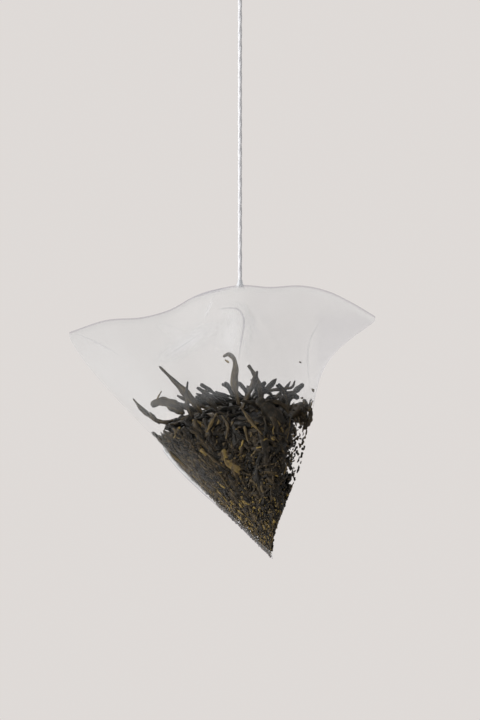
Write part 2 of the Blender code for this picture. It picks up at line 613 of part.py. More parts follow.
def make_thread(material, collection):
    """Thread from the weld up to its knot, the knot, and the loop that everything hangs by."""
    low, high = SEAM_TOP_Z - THREAD_IN_WELD, SEAM_TOP_Z + THREAD_FREE
    count = int((high - low) / (2.5 * THREAD_DIAMETER)) + 1
    heights = np.linspace(low, high, count)
    line = np.column_stack((np.full(count, SEAM_POINT[0]), np.full(count, SEAM_POINT[1]), heights))
    make_tube("string", line, THREAD_RADIUS, False, material, collection)
    knot = knot_line()
    knot[:, 2] += high + CLEARANCE + THREAD_RADIUS - knot[:, 2].min()
    make_tube("string_knot", knot, THREAD_RADIUS, True, material, collection)
    make_tube("hanging_loop", loop_line(), THREAD_RADIUS, True, material, collection)


def build():
    for item in list(bpy.data.objects):
        bpy.data.objects.remove(item, do_unlink=True)
    scene = bpy.context.scene
    collection = bpy.data.collections.new("pyramid_tea_bag")
    cutters = bpy.data.collections.new("cutters")
    scene.collection.children.link(collection)
    scene.collection.children.link(cutters)
    film_material = make_material("mesh_film", (0.86, 0.86, 0.88), 0.45, 0.35)
    thread_material = make_material("white_thread", (0.90, 0.90, 0.90), 0.75)
    tea_material = make_material("packed_tea", (0.035, 0.033, 0.022), 0.85)
    leaves = {
        "leaf": make_material("rolled_leaf", (0.055, 0.060, 0.048), 0.70),
        "stem": make_material("leaf_stem", (0.090, 0.065, 0.040), 0.75),
    }
    make_bag(film_material, collection, cutters)
    make_thread(thread_material, collection)
    make_tea_bed(tea_material, collection)
    make_leaves(leaves, collection)


build()
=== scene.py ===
"""Pyramid tea bag on its thread: the looks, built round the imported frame.

The bag hangs by a loop whose inner crest is the origin. +X is to the right, +Y is away from the front and
+Z is up. Lengths are in metres.
"""

import bpy
import numpy as np
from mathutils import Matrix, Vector


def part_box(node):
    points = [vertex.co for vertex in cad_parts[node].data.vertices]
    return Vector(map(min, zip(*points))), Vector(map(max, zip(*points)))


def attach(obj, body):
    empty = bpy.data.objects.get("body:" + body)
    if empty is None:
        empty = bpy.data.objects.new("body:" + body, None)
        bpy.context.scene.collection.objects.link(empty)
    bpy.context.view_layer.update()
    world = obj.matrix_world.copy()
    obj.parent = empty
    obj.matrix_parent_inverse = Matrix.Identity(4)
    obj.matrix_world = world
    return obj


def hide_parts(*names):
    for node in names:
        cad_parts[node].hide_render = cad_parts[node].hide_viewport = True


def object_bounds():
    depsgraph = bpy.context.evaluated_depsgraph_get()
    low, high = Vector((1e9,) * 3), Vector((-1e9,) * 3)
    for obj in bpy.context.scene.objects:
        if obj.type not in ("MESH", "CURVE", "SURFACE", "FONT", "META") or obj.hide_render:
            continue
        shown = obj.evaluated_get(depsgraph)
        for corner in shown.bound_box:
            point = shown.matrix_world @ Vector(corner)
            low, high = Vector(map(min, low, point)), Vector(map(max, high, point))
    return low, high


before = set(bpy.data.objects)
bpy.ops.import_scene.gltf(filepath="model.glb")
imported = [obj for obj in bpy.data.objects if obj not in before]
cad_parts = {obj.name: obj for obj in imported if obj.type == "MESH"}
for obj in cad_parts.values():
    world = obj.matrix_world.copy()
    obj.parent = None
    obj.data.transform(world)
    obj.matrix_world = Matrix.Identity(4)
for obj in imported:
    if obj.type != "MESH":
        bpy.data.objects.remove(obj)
cad_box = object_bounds()

MM = 0.001

# Camera. The photo looks level at the bag, from far enough that it hardly tapers. The thread meets the
# bag's upper seam at a known pixel, and the seam's known length gives the size of a pixel.
IMAGE_HEIGHT = 720.0
PIXEL = 0.174 * MM
THREAD_PIXEL_Y = 285.0
CAMERA_DISTANCE = 1.6
SENSOR_LONG_SIDE = 36.0
THREAD_IN_WELD = 2.0 * MM

seam_top_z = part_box("string")[0].z + THREAD_IN_WELD
view_middle_z = seam_top_z - (IMAGE_HEIGHT / 2 - THREAD_PIXEL_Y) * PIXEL
camera_data = bpy.data.cameras.new("camera")
camera_data.sensor_width = SENSOR_LONG_SIDE
camera_data.lens = SENSOR_LONG_SIDE * CAMERA_DISTANCE / (IMAGE_HEIGHT * PIXEL)
camera_data.clip_start = 0.01
camera_data.clip_end = 20.0
camera = bpy.data.objects.new("camera", camera_data)
camera.location = (0.0, -CAMERA_DISTANCE, view_middle_z)
camera.rotation_euler = (np.pi / 2, 0.0, 0.0)
bpy.context.scene.collection.objects.link(camera)
bpy.context.scene.camera = camera


# Thread. White polyester sewing thread of two plies laid up round each other, each ply twisted from fine
# yarns the other way. Its lower end is caught in the weld, and it runs straight up to the knot.
THREAD_DIAMETER = 0.7 * MM
PLY_RADIUS = 0.29 * MM
PLY_OFFSET = 0.06 * MM          # from the middle of the thread to the middle of a ply
PLY_PITCH = 5.2 * MM
PLY_SIDES = 16
YARN_LOBES = 5
YARN_DEPTH = 0.03
THREAD_STEP = 0.15 * MM
SHOWN_IN_WELD = 0.3 * MM        # the rest of what is caught in the weld is melted flat into it
BACKWARDS = np.array((0.0, 1.0, 0.0))
UP = np.array((0.0, 0.0, 1.0))


def unit(vectors):
    """Each vector divided by its own length."""
    return vectors / np.linalg.norm(vectors, axis=-1, keepdims=True)


def tube_faces(rings, sides, closed):
    """Corner numbers of a tube's faces, ring by ring, the last ring meeting the first if closed."""
    ring = np.arange(rings if closed else rings - 1)[:, None]
    side = np.arange(sides)[None, :]
    after, beside = (ring + 1) % rings, (side + 1) % sides
    corners = (ring * sides + side, ring * sides + beside, after * sides + beside, after * sides + side)
    return np.stack(corners, axis=-1).reshape(-1, 4)


def capped_tube(rings, sides):
    """Faces of a tube that ends in two points, which come after the points of its rings."""
    i = np.arange(sides)
    j = (i + 1) % sides
    last = (rings - 1) * sides
    start_cap = np.stack((j, i, np.full(sides, rings * sides)), axis=-1)
    end_cap = np.stack((last + i, last + j, np.full(sides, rings * sides + 1)), axis=-1)
    return [tube_faces(rings, sides, False), start_cap, end_cap]


def new_piece(name, points, faces, material):
    """Mesh piece that rides on the bag. faces is a list of arrays of corner numbers, each of one width."""
    mesh = bpy.data.meshes.new(name)
    mesh.from_pydata(points.reshape(-1, 3).tolist(), [], [row for part in faces for row in part.tolist()])
    mesh.shade_smooth()
    mesh.materials.append(material)
    piece = bpy.data.objects.new(name, mesh)
    bpy.context.scene.collection.objects.link(piece)
    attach(piece, "root")
    return piece


def point_values(piece, name, values):
    """Writes one number or one vector for each point of a piece, for its material to read."""
    values = np.asarray(values, dtype=np.float32)
    if values.ndim == 1:
        piece.data.attributes.new(name, "FLOAT", "POINT").data.foreach_set("value", values)
    else:
        piece.data.attributes.new(name, "FLOAT_VECTOR", "POINT").data.foreach_set("vector", values.ravel())


def thread_surface(centre, closed, pitch):
    """Two plies along a line: each ply's middle goes round the line once in a pitch, half a turn from the
    other's, and its section is a circle with shallow lobes that turn the opposite way."""
    if closed:
        run = np.roll(centre, -1, axis=0) - np.roll(centre, 1, axis=0)
        steps = np.linalg.norm(np.roll(centre, -1, axis=0) - centre, axis=1)
        pitch = steps.sum() / max(round(steps.sum() / pitch), 1)
        along = np.concatenate(([0.0], np.cumsum(steps)[:-1]))
    else:
        run = np.gradient(centre, axis=0)
        along = np.concatenate(([0.0], np.cumsum(np.linalg.norm(np.diff(centre, axis=0), axis=1))))
    run = unit(run)
    normal = unit(BACKWARDS - (run @ BACKWARDS)[:, None] * run)
    side = np.cross(normal, run)
    turn = 2 * np.pi * np.arange(PLY_SIDES) / PLY_SIDES
    lay = (2 * np.pi * along / pitch)[:, None]
    twisted = turn + lay
    radius = PLY_RADIUS * (1.0 + YARN_DEPTH * np.cos(YARN_LOBES * twisted))
    across, upward = (radius * np.cos(turn))[..., None], (radius * np.sin(turn))[..., None]
    points, grains, faces = [], [], []
    for start in (0.0, np.pi):
        middle = centre + PLY_OFFSET * (np.cos(lay + start) * side + np.sin(lay + start) * normal)
        skin = (middle[:, None] + across * side[:, None] + upward * normal[:, None]).reshape(-1, 3)
        grain = np.stack((np.broadcast_to(along[:, None], twisted.shape),
                          PLY_RADIUS * np.cos(twisted) + start * MM, PLY_RADIUS * np.sin(twisted)), axis=-1)
        grain = grain.reshape(-1, 3)
        ply_faces = [tube_faces(len(centre), PLY_SIDES, True)]
        if not closed:
            skin = np.concatenate((skin, middle[[0, -1]]))
            grain = np.concatenate((grain, grain[[0, -1]]))
            ply_faces = capped_tube(len(centre), PLY_SIDES)
        faces += [part + sum(map(len, points)) for part in ply_faces]
        points.append(skin)
        grains.append(grain)
    return np.concatenate(points), np.concatenate(grains), faces


def new_material(name):
    """Empty node material: its tree and the output's surface socket."""
    material = bpy.data.materials.new(name)
    material.use_nodes = True
    material.node_tree.nodes.clear()
    output = material.node_tree.nodes.new("ShaderNodeOutputMaterial")
    return material, material.node_tree, output.inputs["Surface"]


def add_node(tree, kind, inputs=None, **settings):
    """Node of a kind: settings go on the node, and inputs are values or sockets by the name of the input."""
    node = tree.nodes.new("ShaderNode" + kind)
    for name, value in settings.items():
        setattr(node, name, value)
    for name, value in (inputs or {}).items():
        if isinstance(value, bpy.types.NodeSocket):
            tree.links.new(value, node.inputs[name])
        else:
            node.inputs[name].default_value = value
    return node


def add_maths(tree, operation, first, second=0.0):
    """One sum on numbers or sockets, and its result."""
    return add_node(tree, "Math", {0: first, 1: second}, operation=operation).outputs[0]


def add_attribute(tree, name):
    """What a piece's points say under a name."""
    return add_node(tree, "Attribute", attribute_name=name, attribute_type="GEOMETRY")


def add_ramp(tree, factor, stops):
    """Colour ramp: each stop is a place and a colour."""
    ramp = add_node(tree, "ValToRGB", {"Fac": factor})
    while len(ramp.color_ramp.elements) < len(stops):
        ramp.color_ramp.elements.new(1.0)
    for element, (place, colour) in zip(ramp.color_ramp.elements, stops):
        element.position = place
        element.color = (*colour, 1.0)
    return ramp.outputs["Color"]


def add_streaks(tree, scale, detail):
    """Noise drawn out along a piece's grain, so that it runs lengthwise."""
    grain = add_attribute(tree, "grain").outputs["Vector"]
    stretched = add_node(tree, "Mapping", {"Vector": grain, "Scale": scale}).outputs["Vector"]
    return add_node(tree, "TexNoise", {"Vector": stretched, "Scale": 1.0, "Detail": detail}).outputs["Fac"]


def add_bump(tree, height, distance, strength):
    """Relief too fine for the mesh, as high as the distance where height is 1."""
    bump = add_node(tree, "Bump", {"Height": height, "Distance": distance, "Strength": strength})
    return bump.outputs["Normal"]


def thread_material():
    """White fibres that run along each ply: fine streaks of light and shade, and soft fuzz at the edges."""
    material, tree, surface = new_material("white_thread")
    fibres = add_streaks(tree, (900.0, 14000.0, 14000.0), 3.0)
    colour = add_ramp(tree, fibres, ((0.3, (0.60, 0.61, 0.65)), (0.6, (0.82, 0.82, 0.84))))
    shader = add_node(tree, "BsdfPrincipled", {
        "Base Color": colour, "Normal": add_bump(tree, fibres, 0.03 * MM, 0.6), "Roughness": 0.7,
        "Sheen Weight": 0.1, "Sheen Roughness": 0.4})
    tree.links.new(shader.outputs[0], surface)
    return material


white_thread = thread_material()


def thread_piece(name, node, centre, closed):
    """Stretch of thread along a line, which stands for a node."""
    points, grain, faces = thread_surface(centre, closed, PLY_PITCH)
    piece = new_piece(name, points, faces, white_thread)
    point_values(piece, "grain", grain)
    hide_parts(node)
    return piece


thread_low, thread_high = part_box("string")[0].z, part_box("string")[1].z
thread_length = thread_high - thread_low
heights = np.linspace(seam_top_z - SHOWN_IN_WELD, thread_high, int(thread_length / THREAD_STEP))
thread_line = heights[:, None] * UP
string = thread_piece("twisted_thread", "string", thread_line, False)


# Knot. The same white thread, tied in a tight overhand knot where its end is doubled. It is a trefoil that
# faces the front and sits on the thread's upper end.
KNOT_SIZE = 0.83 * THREAD_DIAMETER
KNOT_DEPTH = 1.1 * THREAD_DIAMETER
KNOT_STEPS = 150

turn = 2 * np.pi * np.arange(KNOT_STEPS) / KNOT_STEPS
knot_line = np.stack((KNOT_SIZE * (np.sin(turn) + 2 * np.sin(2 * turn)), KNOT_DEPTH * np.sin(3 * turn),
                      KNOT_SIZE * (2 * np.cos(2 * turn) - np.cos(turn))), axis=-1)
knot_line[:, 2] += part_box("string_knot")[0].z + THREAD_DIAMETER / 2 - knot_line[:, 2].min()
overhand_knot = thread_piece("overhand_knot", "string_knot", knot_line, True)


# Hanging loop. The doubled end of the white thread above the knot, left open as an egg-shaped eye. The bag
# hangs by the inside of its crest, which is the origin.
LOOP_HEIGHT = 8.0 * MM
LOOP_WIDTH = 4.0 * MM
LOOP_EGG = 0.25                 # how much wider the eye is above its middle
LOOP_STEPS = 190

turn = 2 * np.pi * np.arange(LOOP_STEPS) / LOOP_STEPS
loop_x = (LOOP_WIDTH + THREAD_DIAMETER) / 2 * np.sin(turn) * (1.0 + LOOP_EGG * np.cos(turn))
loop_z = THREAD_DIAMETER / 2 - (LOOP_HEIGHT + THREAD_DIAMETER) * (1.0 - np.cos(turn)) / 2
loop_line = np.stack((loop_x, 0.0 * turn, loop_z), axis=-1)
thread_eye = thread_piece("thread_eye", "hanging_loop", loop_line, True)


# Film bag. A tube of fine nylon mesh, see-through and a little lilac. It is welded flat across at both
# ends, the two welds lying crosswise, so it opens into a tetrahedron.
SEAM_WIDTH = 60.0 * MM
FILM_WALL = 0.08 * MM
WELD_HEIGHT = 0.8 * MM
WELD_THICKNESS = 0.3 * MM
LAYER_GAP = 0.12 * MM
FILM_COLUMNS = 256
FILM_ROWS = 132
SEAM_POINT = seam_top_z * UP
UPPER_SEAM = (
    (-0.493, -0.100, -0.137), (-0.392, -0.077, -0.103), (-0.275, -0.023, -0.092),
    (-0.200, 0.015, -0.070), (-0.133, 0.027, -0.033), (-0.067, 0.015, -0.012),
    (0.000, 0.000, 0.000), (0.083, 0.012, -0.0055), (0.175, 0.050, -0.001),
    (0.258, 0.110, -0.018), (0.322, 0.160, -0.048), (0.395, 0.217, -0.090),
)
LOWER_SEAM = (
    (0.093, -0.300, -0.788), (-0.018, -0.067, -0.683), (-0.115, 0.183, -0.600),
    (-0.182, 0.400, -0.538), (-0.227, 0.575, -0.487),
)
SWELLS = (
    (0.90, 0.12, 0.70, 0.26, (0.043, -0.010, 0.0)),
    (0.75, 0.13, 0.42, 0.28, (0.0, -0.075, 0.0)),
    (0.25, 0.14, 0.42, 0.28, (0.0, 0.075, 0.0)),
    (0.40, 0.09, 0.46, 0.24, (0.018, 0.0, 0.0)),
)
GIRTH_SPREAD = 0.09
CORNER_PINCH = 0.047
FOLDS = (
    ("front", ((-0.070, -0.073), (-0.035, -0.067), (-0.007, -0.072), (0.008, -0.093),
               (0.008, -0.140), (0.003, -0.165), (-0.003, -0.217)), 1.1 * MM, 0.9 * MM),
    ("front", ((-0.075, -0.035), (-0.090, -0.067), (-0.102, -0.102)), 1.2 * MM, 0.5 * MM),
    ("front", ((-0.095, -0.128), (-0.130, -0.153), (-0.173, -0.183), (-0.228, -0.218)), 1.8 * MM, 0.8 * MM),
    ("front", ((-0.478, -0.140), (-0.412, -0.168), (-0.348, -0.203)), 1.5 * MM, 0.4 * MM),
    ("front", ((0.235, -0.102), (0.203, -0.160), (0.197, -0.250), (0.203, -0.298)), 1.6 * MM, 0.7 * MM),
    ("back", ((0.010, -0.060), (0.070, -0.130), (0.110, -0.230)), 1.8 * MM, 0.8 * MM),
    ("back", ((-0.040, -0.070), (-0.120, -0.160), (-0.220, -0.230)), 1.8 * MM, 0.8 * MM),
)


def curve_through(points, share):
    """Smooth curve through points: a cubic between each two, read at shares of the chord length, 0 to 1."""
    points = np.asarray(points, dtype=float)
    steps = np.linalg.norm(np.diff(points, axis=0), axis=1)
    knots = np.concatenate(([0.0], np.cumsum(steps))) / steps.sum()
    slopes = np.gradient(points, knots, axis=0)
    share = np.asarray(share, dtype=float)
    i = np.clip(np.searchsorted(knots, share, side="right") - 1, 0, len(knots) - 2)
    span = (knots[i + 1] - knots[i])[..., None]
    f = np.clip((share - knots[i])[..., None] / span, 0.0, 1.0)
    start = (2 * f ** 3 - 3 * f ** 2 + 1) * points[i] + (f ** 3 - 2 * f ** 2 + f) * span * slopes[i]
    end = (3 * f ** 2 - 2 * f ** 3) * points[i + 1] + (f ** 3 - f ** 2) * span * slopes[i + 1]
    return start + end


def signed_power(value, power):
    """A number's size raised to a power, with its sign kept."""
    return np.sign(value) * np.abs(value) ** power


def ease(value, start, end):
    """Rises smoothly from 0 at start to 1 at end."""
    f = np.clip((value - start) / (end - start), 0.0, 1.0)
    return f * f * (3.0 - 2.0 * f)


def seam_line(fractions, place):
    """Point of a seam: place runs from -1 at its first corner to 1 at its last, and straight on beyond."""
    fractions = np.asarray(fractions)
    inside = np.clip(place, -1.0, 1.0)
    beyond = (place - inside)[..., None] * (fractions[-1] - fractions[0]) / 2
    return SEAM_POINT + SEAM_WIDTH * (curve_through(fractions, (inside + 1.0) / 2) + beyond)


def across_seam(fractions, place, side):
    """Level direction square to a seam, side being 1 or -1 for the way it points."""
    step = 0.02
    inside = np.clip(place, step - 1.0, 1.0 - step)
    run = seam_line(fractions, inside + step) - seam_line(fractions, inside - step)
    return unit(side * np.cross(UP, run))


def fold_height(points, line, width, height):
    """Ridge along a line seen from the front, bell-shaped across and fading at both ends."""
    count = 24
    share = np.linspace(0.0, 1.0, count)
    flat = curve_through(np.asarray(line) * SEAM_WIDTH, share)
    fade = np.sin(np.pi * (0.08 + 0.84 * share))
    dx = points[..., 0, None] - (SEAM_POINT[0] + flat[:, 0])
    dz = points[..., 2, None] - (SEAM_POINT[2] + flat[:, 1])
    return height * (fade * np.exp(-(dx ** 2 + dz ** 2) / width ** 2)).max(axis=-1)


def film(around, down, folded=True):
    """Inner face of the film. Each point lies on the line from a point of the upper seam to a point of the
    lower one. As the girth goes round, 0 to 1, the first point runs left and right as the cosine and the
    second one back and front as the sine, which gives the tetrahedron. down is the share of the way from
    seam to seam. Swells, the pinched right corner and the folds are added."""
    around, down = np.broadcast_arrays(np.asarray(around, dtype=float), np.asarray(down, dtype=float))
    cos, sin = np.cos(2 * np.pi * around), np.sin(2 * np.pi * around)
    flat_right = 1.8 - 1.1 * ease(down, 0.05, 0.42)
    flat_left = 1.5 - 0.8 * ease(down, 0.02, 0.35)
    rightness = 0.5 + 0.5 * np.tanh(cos / 0.35)
    spread = 1.0 + GIRTH_SPREAD * 4 * down * (1.0 - down)
    across = signed_power(cos, 0.8) * spread
    depth = signed_power(sin, flat_left + (flat_right - flat_left) * rightness) * spread
    upper = seam_line(UPPER_SEAM, across) - WELD_HEIGHT * UP
    lower = seam_line(LOWER_SEAM, depth) + WELD_HEIGHT * UP
    upper = upper + LAYER_GAP * signed_power(sin, 0.5)[..., None] * across_seam(UPPER_SEAM, across, 1)
    lower = lower + LAYER_GAP * signed_power(cos, 0.5)[..., None] * across_seam(LOWER_SEAM, depth, -1)
    points = upper + (lower - upper) * down[..., None]
    pinch = CORNER_PINCH * SEAM_WIDTH * ((down / 0.25) * np.exp(1.0 - down / 0.25)) ** 1.3
    pinch = pinch * np.clip(across, 0.0, None) ** 1.5
    points = points - pinch[..., None] * np.array((1.0, 0.3, 0.0))
    held = np.clip(down / 0.12, 0.0, 1.0) * np.clip((1.0 - down) / 0.10, 0.0, 1.0)
    for place, width, level, height, push in SWELLS:
        apart = (around - place + 0.5) % 1.0 - 0.5
        amount = held * np.exp(-(apart / width) ** 2 - ((down - level) / height) ** 2)
        points = points + SEAM_WIDTH * amount[..., None] * np.array(push)
    if not folded:
        return points
    ridge = np.zeros(around.shape)
    room = np.clip(down / 0.06, 0.0, 1.0)
    for layer, line, width, height in FOLDS:
        side = -1.0 if layer == "front" else 1.0
        layer_weight = ease(side * sin, 0.05, 0.35)
        ridge = ridge + side * layer_weight * room * fold_height(points, line, width, height)
    return points + ridge[..., None] * BACKWARDS


def outward(grid):
    """Outward direction at each point of a grid whose rows go down and whose columns close round."""
    around = np.roll(grid, -1, axis=1) - np.roll(grid, 1, axis=1)
    down = np.gradient(grid, axis=0)
    return unit(np.cross(down, around))


def weld_rows(fractions, place, side, weight, levels):
    """Rows of a welded strip to one side of the seam line, one at each level below or above it."""
    edge = seam_line(fractions, place)
    half = WELD_THICKNESS / 2 * weight[:, None] * across_seam(fractions, place, side)
    return [edge + half + level * UP for level in levels]


def closed_skin(rows, columns, start, inside_out):
    """Faces of a tube with flat ends. The first row closes from front to back, about the right corner, and
    the last from right to left, about the back corner, by strips between the points that face each other."""
    i = np.arange(rows - 1)[:, None]
    j = np.arange(columns)[None, :]
    k = (j + 1) % columns
    here, below = i * columns, (i + 1) * columns
    sides = np.stack((here + j, below + j, below + k, here + k), axis=-1).reshape(-1, 4)
    strips, ends = [], []
    for row, first, way in ((0, 0, 1), (rows - 1, columns // 4, -1)):
        step = np.arange(1, columns // 2 - 1)
        strip = np.stack((first + step, first + step + 1, first - step - 1, first - step), axis=-1) % columns
        last = first + columns // 2
        corner = np.array(((first, first + 1, first - 1), (last - 1, last, last + 1)))
        strips.append((row * columns + strip)[:, ::way])
        ends.append((row * columns + corner % columns)[:, ::way])
    faces = [sides, *strips, *ends]
    return [start + (part[:, ::-1] if inside_out else part) for part in faces]


WEAVE_PITCH = 0.21 * MM
COVER_FREE = 0.14               # how much one layer hides where it hangs free
COVER_ON_TEA = 0.004            # and where leaf lies against it
COVER_SLOPE = 0.10              # what the steep side of a fold adds
COVER_FLAP = 0.10               # what the film turned over at the right corner adds
COVER_VEIL = 0.42               # what the film pinched at the back end of the lower weld adds
PINCH_REACH = 7.0 * MM
# painted shade: how much greyer the film is on its right side, turned away from the key light
PAINTED_SHADE_RIGHT = 0.12
# painted highlight: how much whiter the film is in its middle
PAINTED_HIGHLIGHT_MIDDLE = 0.12
FLAP_START = 12.0 * MM
FLAP_END = 14.5 * MM
FLAP_TOP = 2.0 * MM
FLAP_FULL = 7.0 * MM
PLAIN = 0.3                     # how grey the film is where it is neither bright nor melted
WELD_COVERS = (0.22, 0.22, 0.16, 0.16)      # of a weld's rows, from its rim inwards
WELD_GREYS = (1.0, 1.0, 0.45, PLAIN)
VEIL_LOW = -38.0 * MM           # below this the tea at the left edge is as clear as elsewhere
VEIL_HIGH = -31.0 * MM
VEIL_FACING = (0.45, 0.9)       # how far the film faces left where its veil starts, and where it is full
VEIL_TAKES = 0.65               # share of the clearness over the tea that the veil takes
TEA_FADE = (-3.0 * MM, -0.5 * MM)   # depth below the heap's edge where the film starts to lie on tea
FOLD_SLOPE = (0.05, 0.7)        # slope of a fold where it starts to hide more, and where it hides most
FRONT_FADE = (0.0, 0.2)         # where the front film starts on its way round, and where it is full
FLAP_GREY = 0.25
PINCH_PALE = 0.2                # how much less grey the pinched film is, and its weld
WELD_PALE = 0.5
RIGHT_FADE = 3.0 * MM
# the bright part is a painted highlight
BRIGHT_X = -5.0 * MM            # middle and width of the bright part
BRIGHT_WIDTH = 6.0 * MM
FILM_LENGTH = 0.867 * SEAM_WIDTH    # from seam to seam along the film
# Painted highlights: soft bright bands along the folds, where the film hides more and is whiter.
PAINTED_SHEENS = (                      # soft bright bands: line, width and the cover each adds
    (((-0.085, -0.120), (-0.160, -0.174), (-0.228, -0.218)), 1.1 * MM, 0.28),
    (((-0.030, -0.105), (-0.035, -0.150), (-0.050, -0.190)), 1.6 * MM, 0.20),
    (((-0.250, -0.110), (-0.180, -0.150), (-0.150, -0.180)), 1.2 * MM, 0.10),
)
# Crease strips: the grey ones are painted shade along a fold, the palest ones painted highlights.
PAINTED_CREASES = (                     # sharp creases: line, width, cover and how grey each is
    (((-0.070, -0.073), (-0.035, -0.067), (-0.003, -0.073), (0.008, -0.090), (0.008, -0.140),
      (0.003, -0.165), (-0.003, -0.217)), 0.40 * MM, 0.34, 0.80),
    (((-0.075, -0.035), (-0.090, -0.067), (-0.102, -0.102)), 0.45 * MM, 0.32, 0.0),
    (((-0.095, -0.128), (-0.160, -0.174), (-0.228, -0.218)), 0.40 * MM, 0.16, 0.1),
    (((-0.478, -0.140), (-0.412, -0.168), (-0.348, -0.203)), 0.35 * MM, 0.16, 0.5),
    (((-0.145, -0.038), (-0.081, -0.019), (-0.023, -0.009)), 0.55 * MM, 0.30, 0.70),
    (((0.235, -0.102), (0.203, -0.160), (0.197, -0.250), (0.203, -0.298)), 0.35 * MM, 0.16, 0.5),
)
CREASE_RINGS = 70
CREASE_SIDES = 8
CREASE_THICKNESS = 0.04 * MM
FRONT_BLEND = 0.6 * MM


def film_material():
    """Woven nylon: clear threads with open holes between them, in two sets that cross. How much a layer
    hides is its cover, which the points say, and the threads have more of it than the holes. The points
    also say how grey the film is: greyer where it is melted or doubled, and with painted shade and
    painted highlights along its folds, down its right side and in its middle."""
    material, tree, surface = new_material("mesh_film")
    weave = add_node(tree, "UVMap", uv_map="weave").outputs["UV"]
    parts = add_node(tree, "SeparateXYZ", {"Vector": weave})
    lines = []
    for axis in ("X", "Y"):
        angle = add_maths(tree, "MULTIPLY", parts.outputs[axis], 2 * np.pi / WEAVE_PITCH)
        lines.append(add_maths(tree, "ABSOLUTE", add_maths(tree, "SINE", angle)))
    threads = add_maths(tree, "MULTIPLY", add_maths(tree, "MAXIMUM", lines[0], lines[1]), 1.4)
    cover = add_attribute(tree, "cover").outputs["Fac"]
    share = add_maths(tree, "MULTIPLY", cover, threads)
    # Colour by greyness: white for painted highlights, the plain film's grey, and darker for melted welds
    # and painted shade.
    colour = add_ramp(tree, add_attribute(tree, "grey_and_painted_light").outputs["Fac"],
                      ((0.0, (0.93, 0.94, 0.96)), (0.3, (0.70, 0.73, 0.75)), (1.0, (0.36, 0.34, 0.41))))
    shader = add_node(tree, "BsdfPrincipled", {"Base Color": colour, "Roughness": 0.35, "Sheen Weight": 0.3})
    through = add_node(tree, "BsdfTranslucent", {"Color": colour})
    fibre = add_node(tree, "MixShader", {0: 0.45, 1: shader.outputs[0], 2: through.outputs[0]})
    clear = add_node(tree, "BsdfTransparent")
    mixed = add_node(tree, "MixShader", {0: share, 1: clear.outputs[0], 2: fibre.outputs[0]})
    tree.links.new(mixed.outputs[0], surface)
    return material


def heap_top(x, y):
    """Height of the heap of tea, highest at its crest and falling away round it in a bell shape."""
    away = ((x - HEAP_CENTRE_X) / HEAP_REACH_X) ** 2 + ((y - HEAP_CENTRE_Y) / HEAP_REACH_Y) ** 2
    return seam_top_z - TEA_DEPTH - HEAP_FALL * (1.0 - np.exp(-away))


TEA_DEPTH = 20.5 * MM
HEAP_CENTRE_X = 2.0 * MM
HEAP_CENTRE_Y = 2.0 * MM
HEAP_FALL = 6.0 * MM
HEAP_REACH_X = 15.0 * MM
HEAP_REACH_Y = 21.0 * MM

around = np.arange(FILM_COLUMNS) / FILM_COLUMNS
down = np.linspace(0.015, 0.985, FILM_ROWS)
inside = film(around[None, :], down[:, None])
outside = inside + FILM_WALL * outward(inside)
cos, sin = np.cos(2 * np.pi * around), np.sin(2 * np.pi * around)
weld_levels = (0.0, -0.18 * MM, -0.34 * MM, -WELD_HEIGHT)
upper_weld = weld_rows(UPPER_SEAM, signed_power(cos, 0.8), 1, signed_power(sin, 0.3), weld_levels)
lower_weld = weld_rows(LOWER_SEAM, signed_power(sin, 0.7), -1, signed_power(cos, 0.3),
                       [-level for level in weld_levels])[::-1]
skin = np.concatenate((upper_weld, outside, lower_weld))
bag_points = np.concatenate((skin.reshape(-1, 3), inside.reshape(-1, 3)))
bag_faces = closed_skin(len(skin), FILM_COLUMNS, 0, False)
bag_faces += closed_skin(len(inside), FILM_COLUMNS, len(skin) * FILM_COLUMNS, True)
mesh_film = film_material()
bag = new_piece("film_bag", bag_points, bag_faces, mesh_film)
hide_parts("mesh_bag")

heap_edge = heap_top(inside[..., 0], HEAP_CENTRE_Y) - inside[..., 2]
above_tip = ease(inside[..., 2] - seam_top_z, VEIL_LOW, VEIL_HIGH)
veil = ease(-outward(inside)[..., 0], *VEIL_FACING) * above_tip
pinched = (1.0 - ease((1.0 - down[:, None]) * FILM_LENGTH, 0.0, PINCH_REACH)) * above_tip
on_tea = ease(heap_edge, *TEA_FADE) * (1.0 - VEIL_TAKES * veil)
cover = COVER_FREE + (COVER_ON_TEA - COVER_FREE) * on_tea
ridge = np.abs((inside - film(around[None, :], down[:, None], False))[..., 1])
slope = np.hypot(*np.gradient(ridge)) / (2 * SEAM_WIDTH / FILM_COLUMNS)
flap = ease(inside[..., 0], FLAP_START, FLAP_END) * ease(-sin, *FRONT_FADE)
flap = flap * ease(seam_top_z - inside[..., 2], FLAP_TOP, FLAP_FULL)
cover = cover + (COVER_SLOPE * ease(slope, *FOLD_SLOPE) + COVER_FLAP * flap) * (1.0 - on_tea)
cover = cover + COVER_VEIL * pinched
# How grey each point is: melted welds and the turned-over flap, then painted shade and painted highlights.
grey_and_painted_light = PLAIN * (1.0 - PINCH_PALE * pinched) + FLAP_GREY * flap
# Painted shade down the right side of the film.
grey_and_painted_light = grey_and_painted_light + PAINTED_SHADE_RIGHT * ease(inside[..., 0], 0.0, RIGHT_FADE)
# Painted highlight in the middle of the front film.
grey_and_painted_light = grey_and_painted_light - PAINTED_HIGHLIGHT_MIDDLE * np.exp(-((inside[..., 0] - BRIGHT_X) / BRIGHT_WIDTH) ** 2)
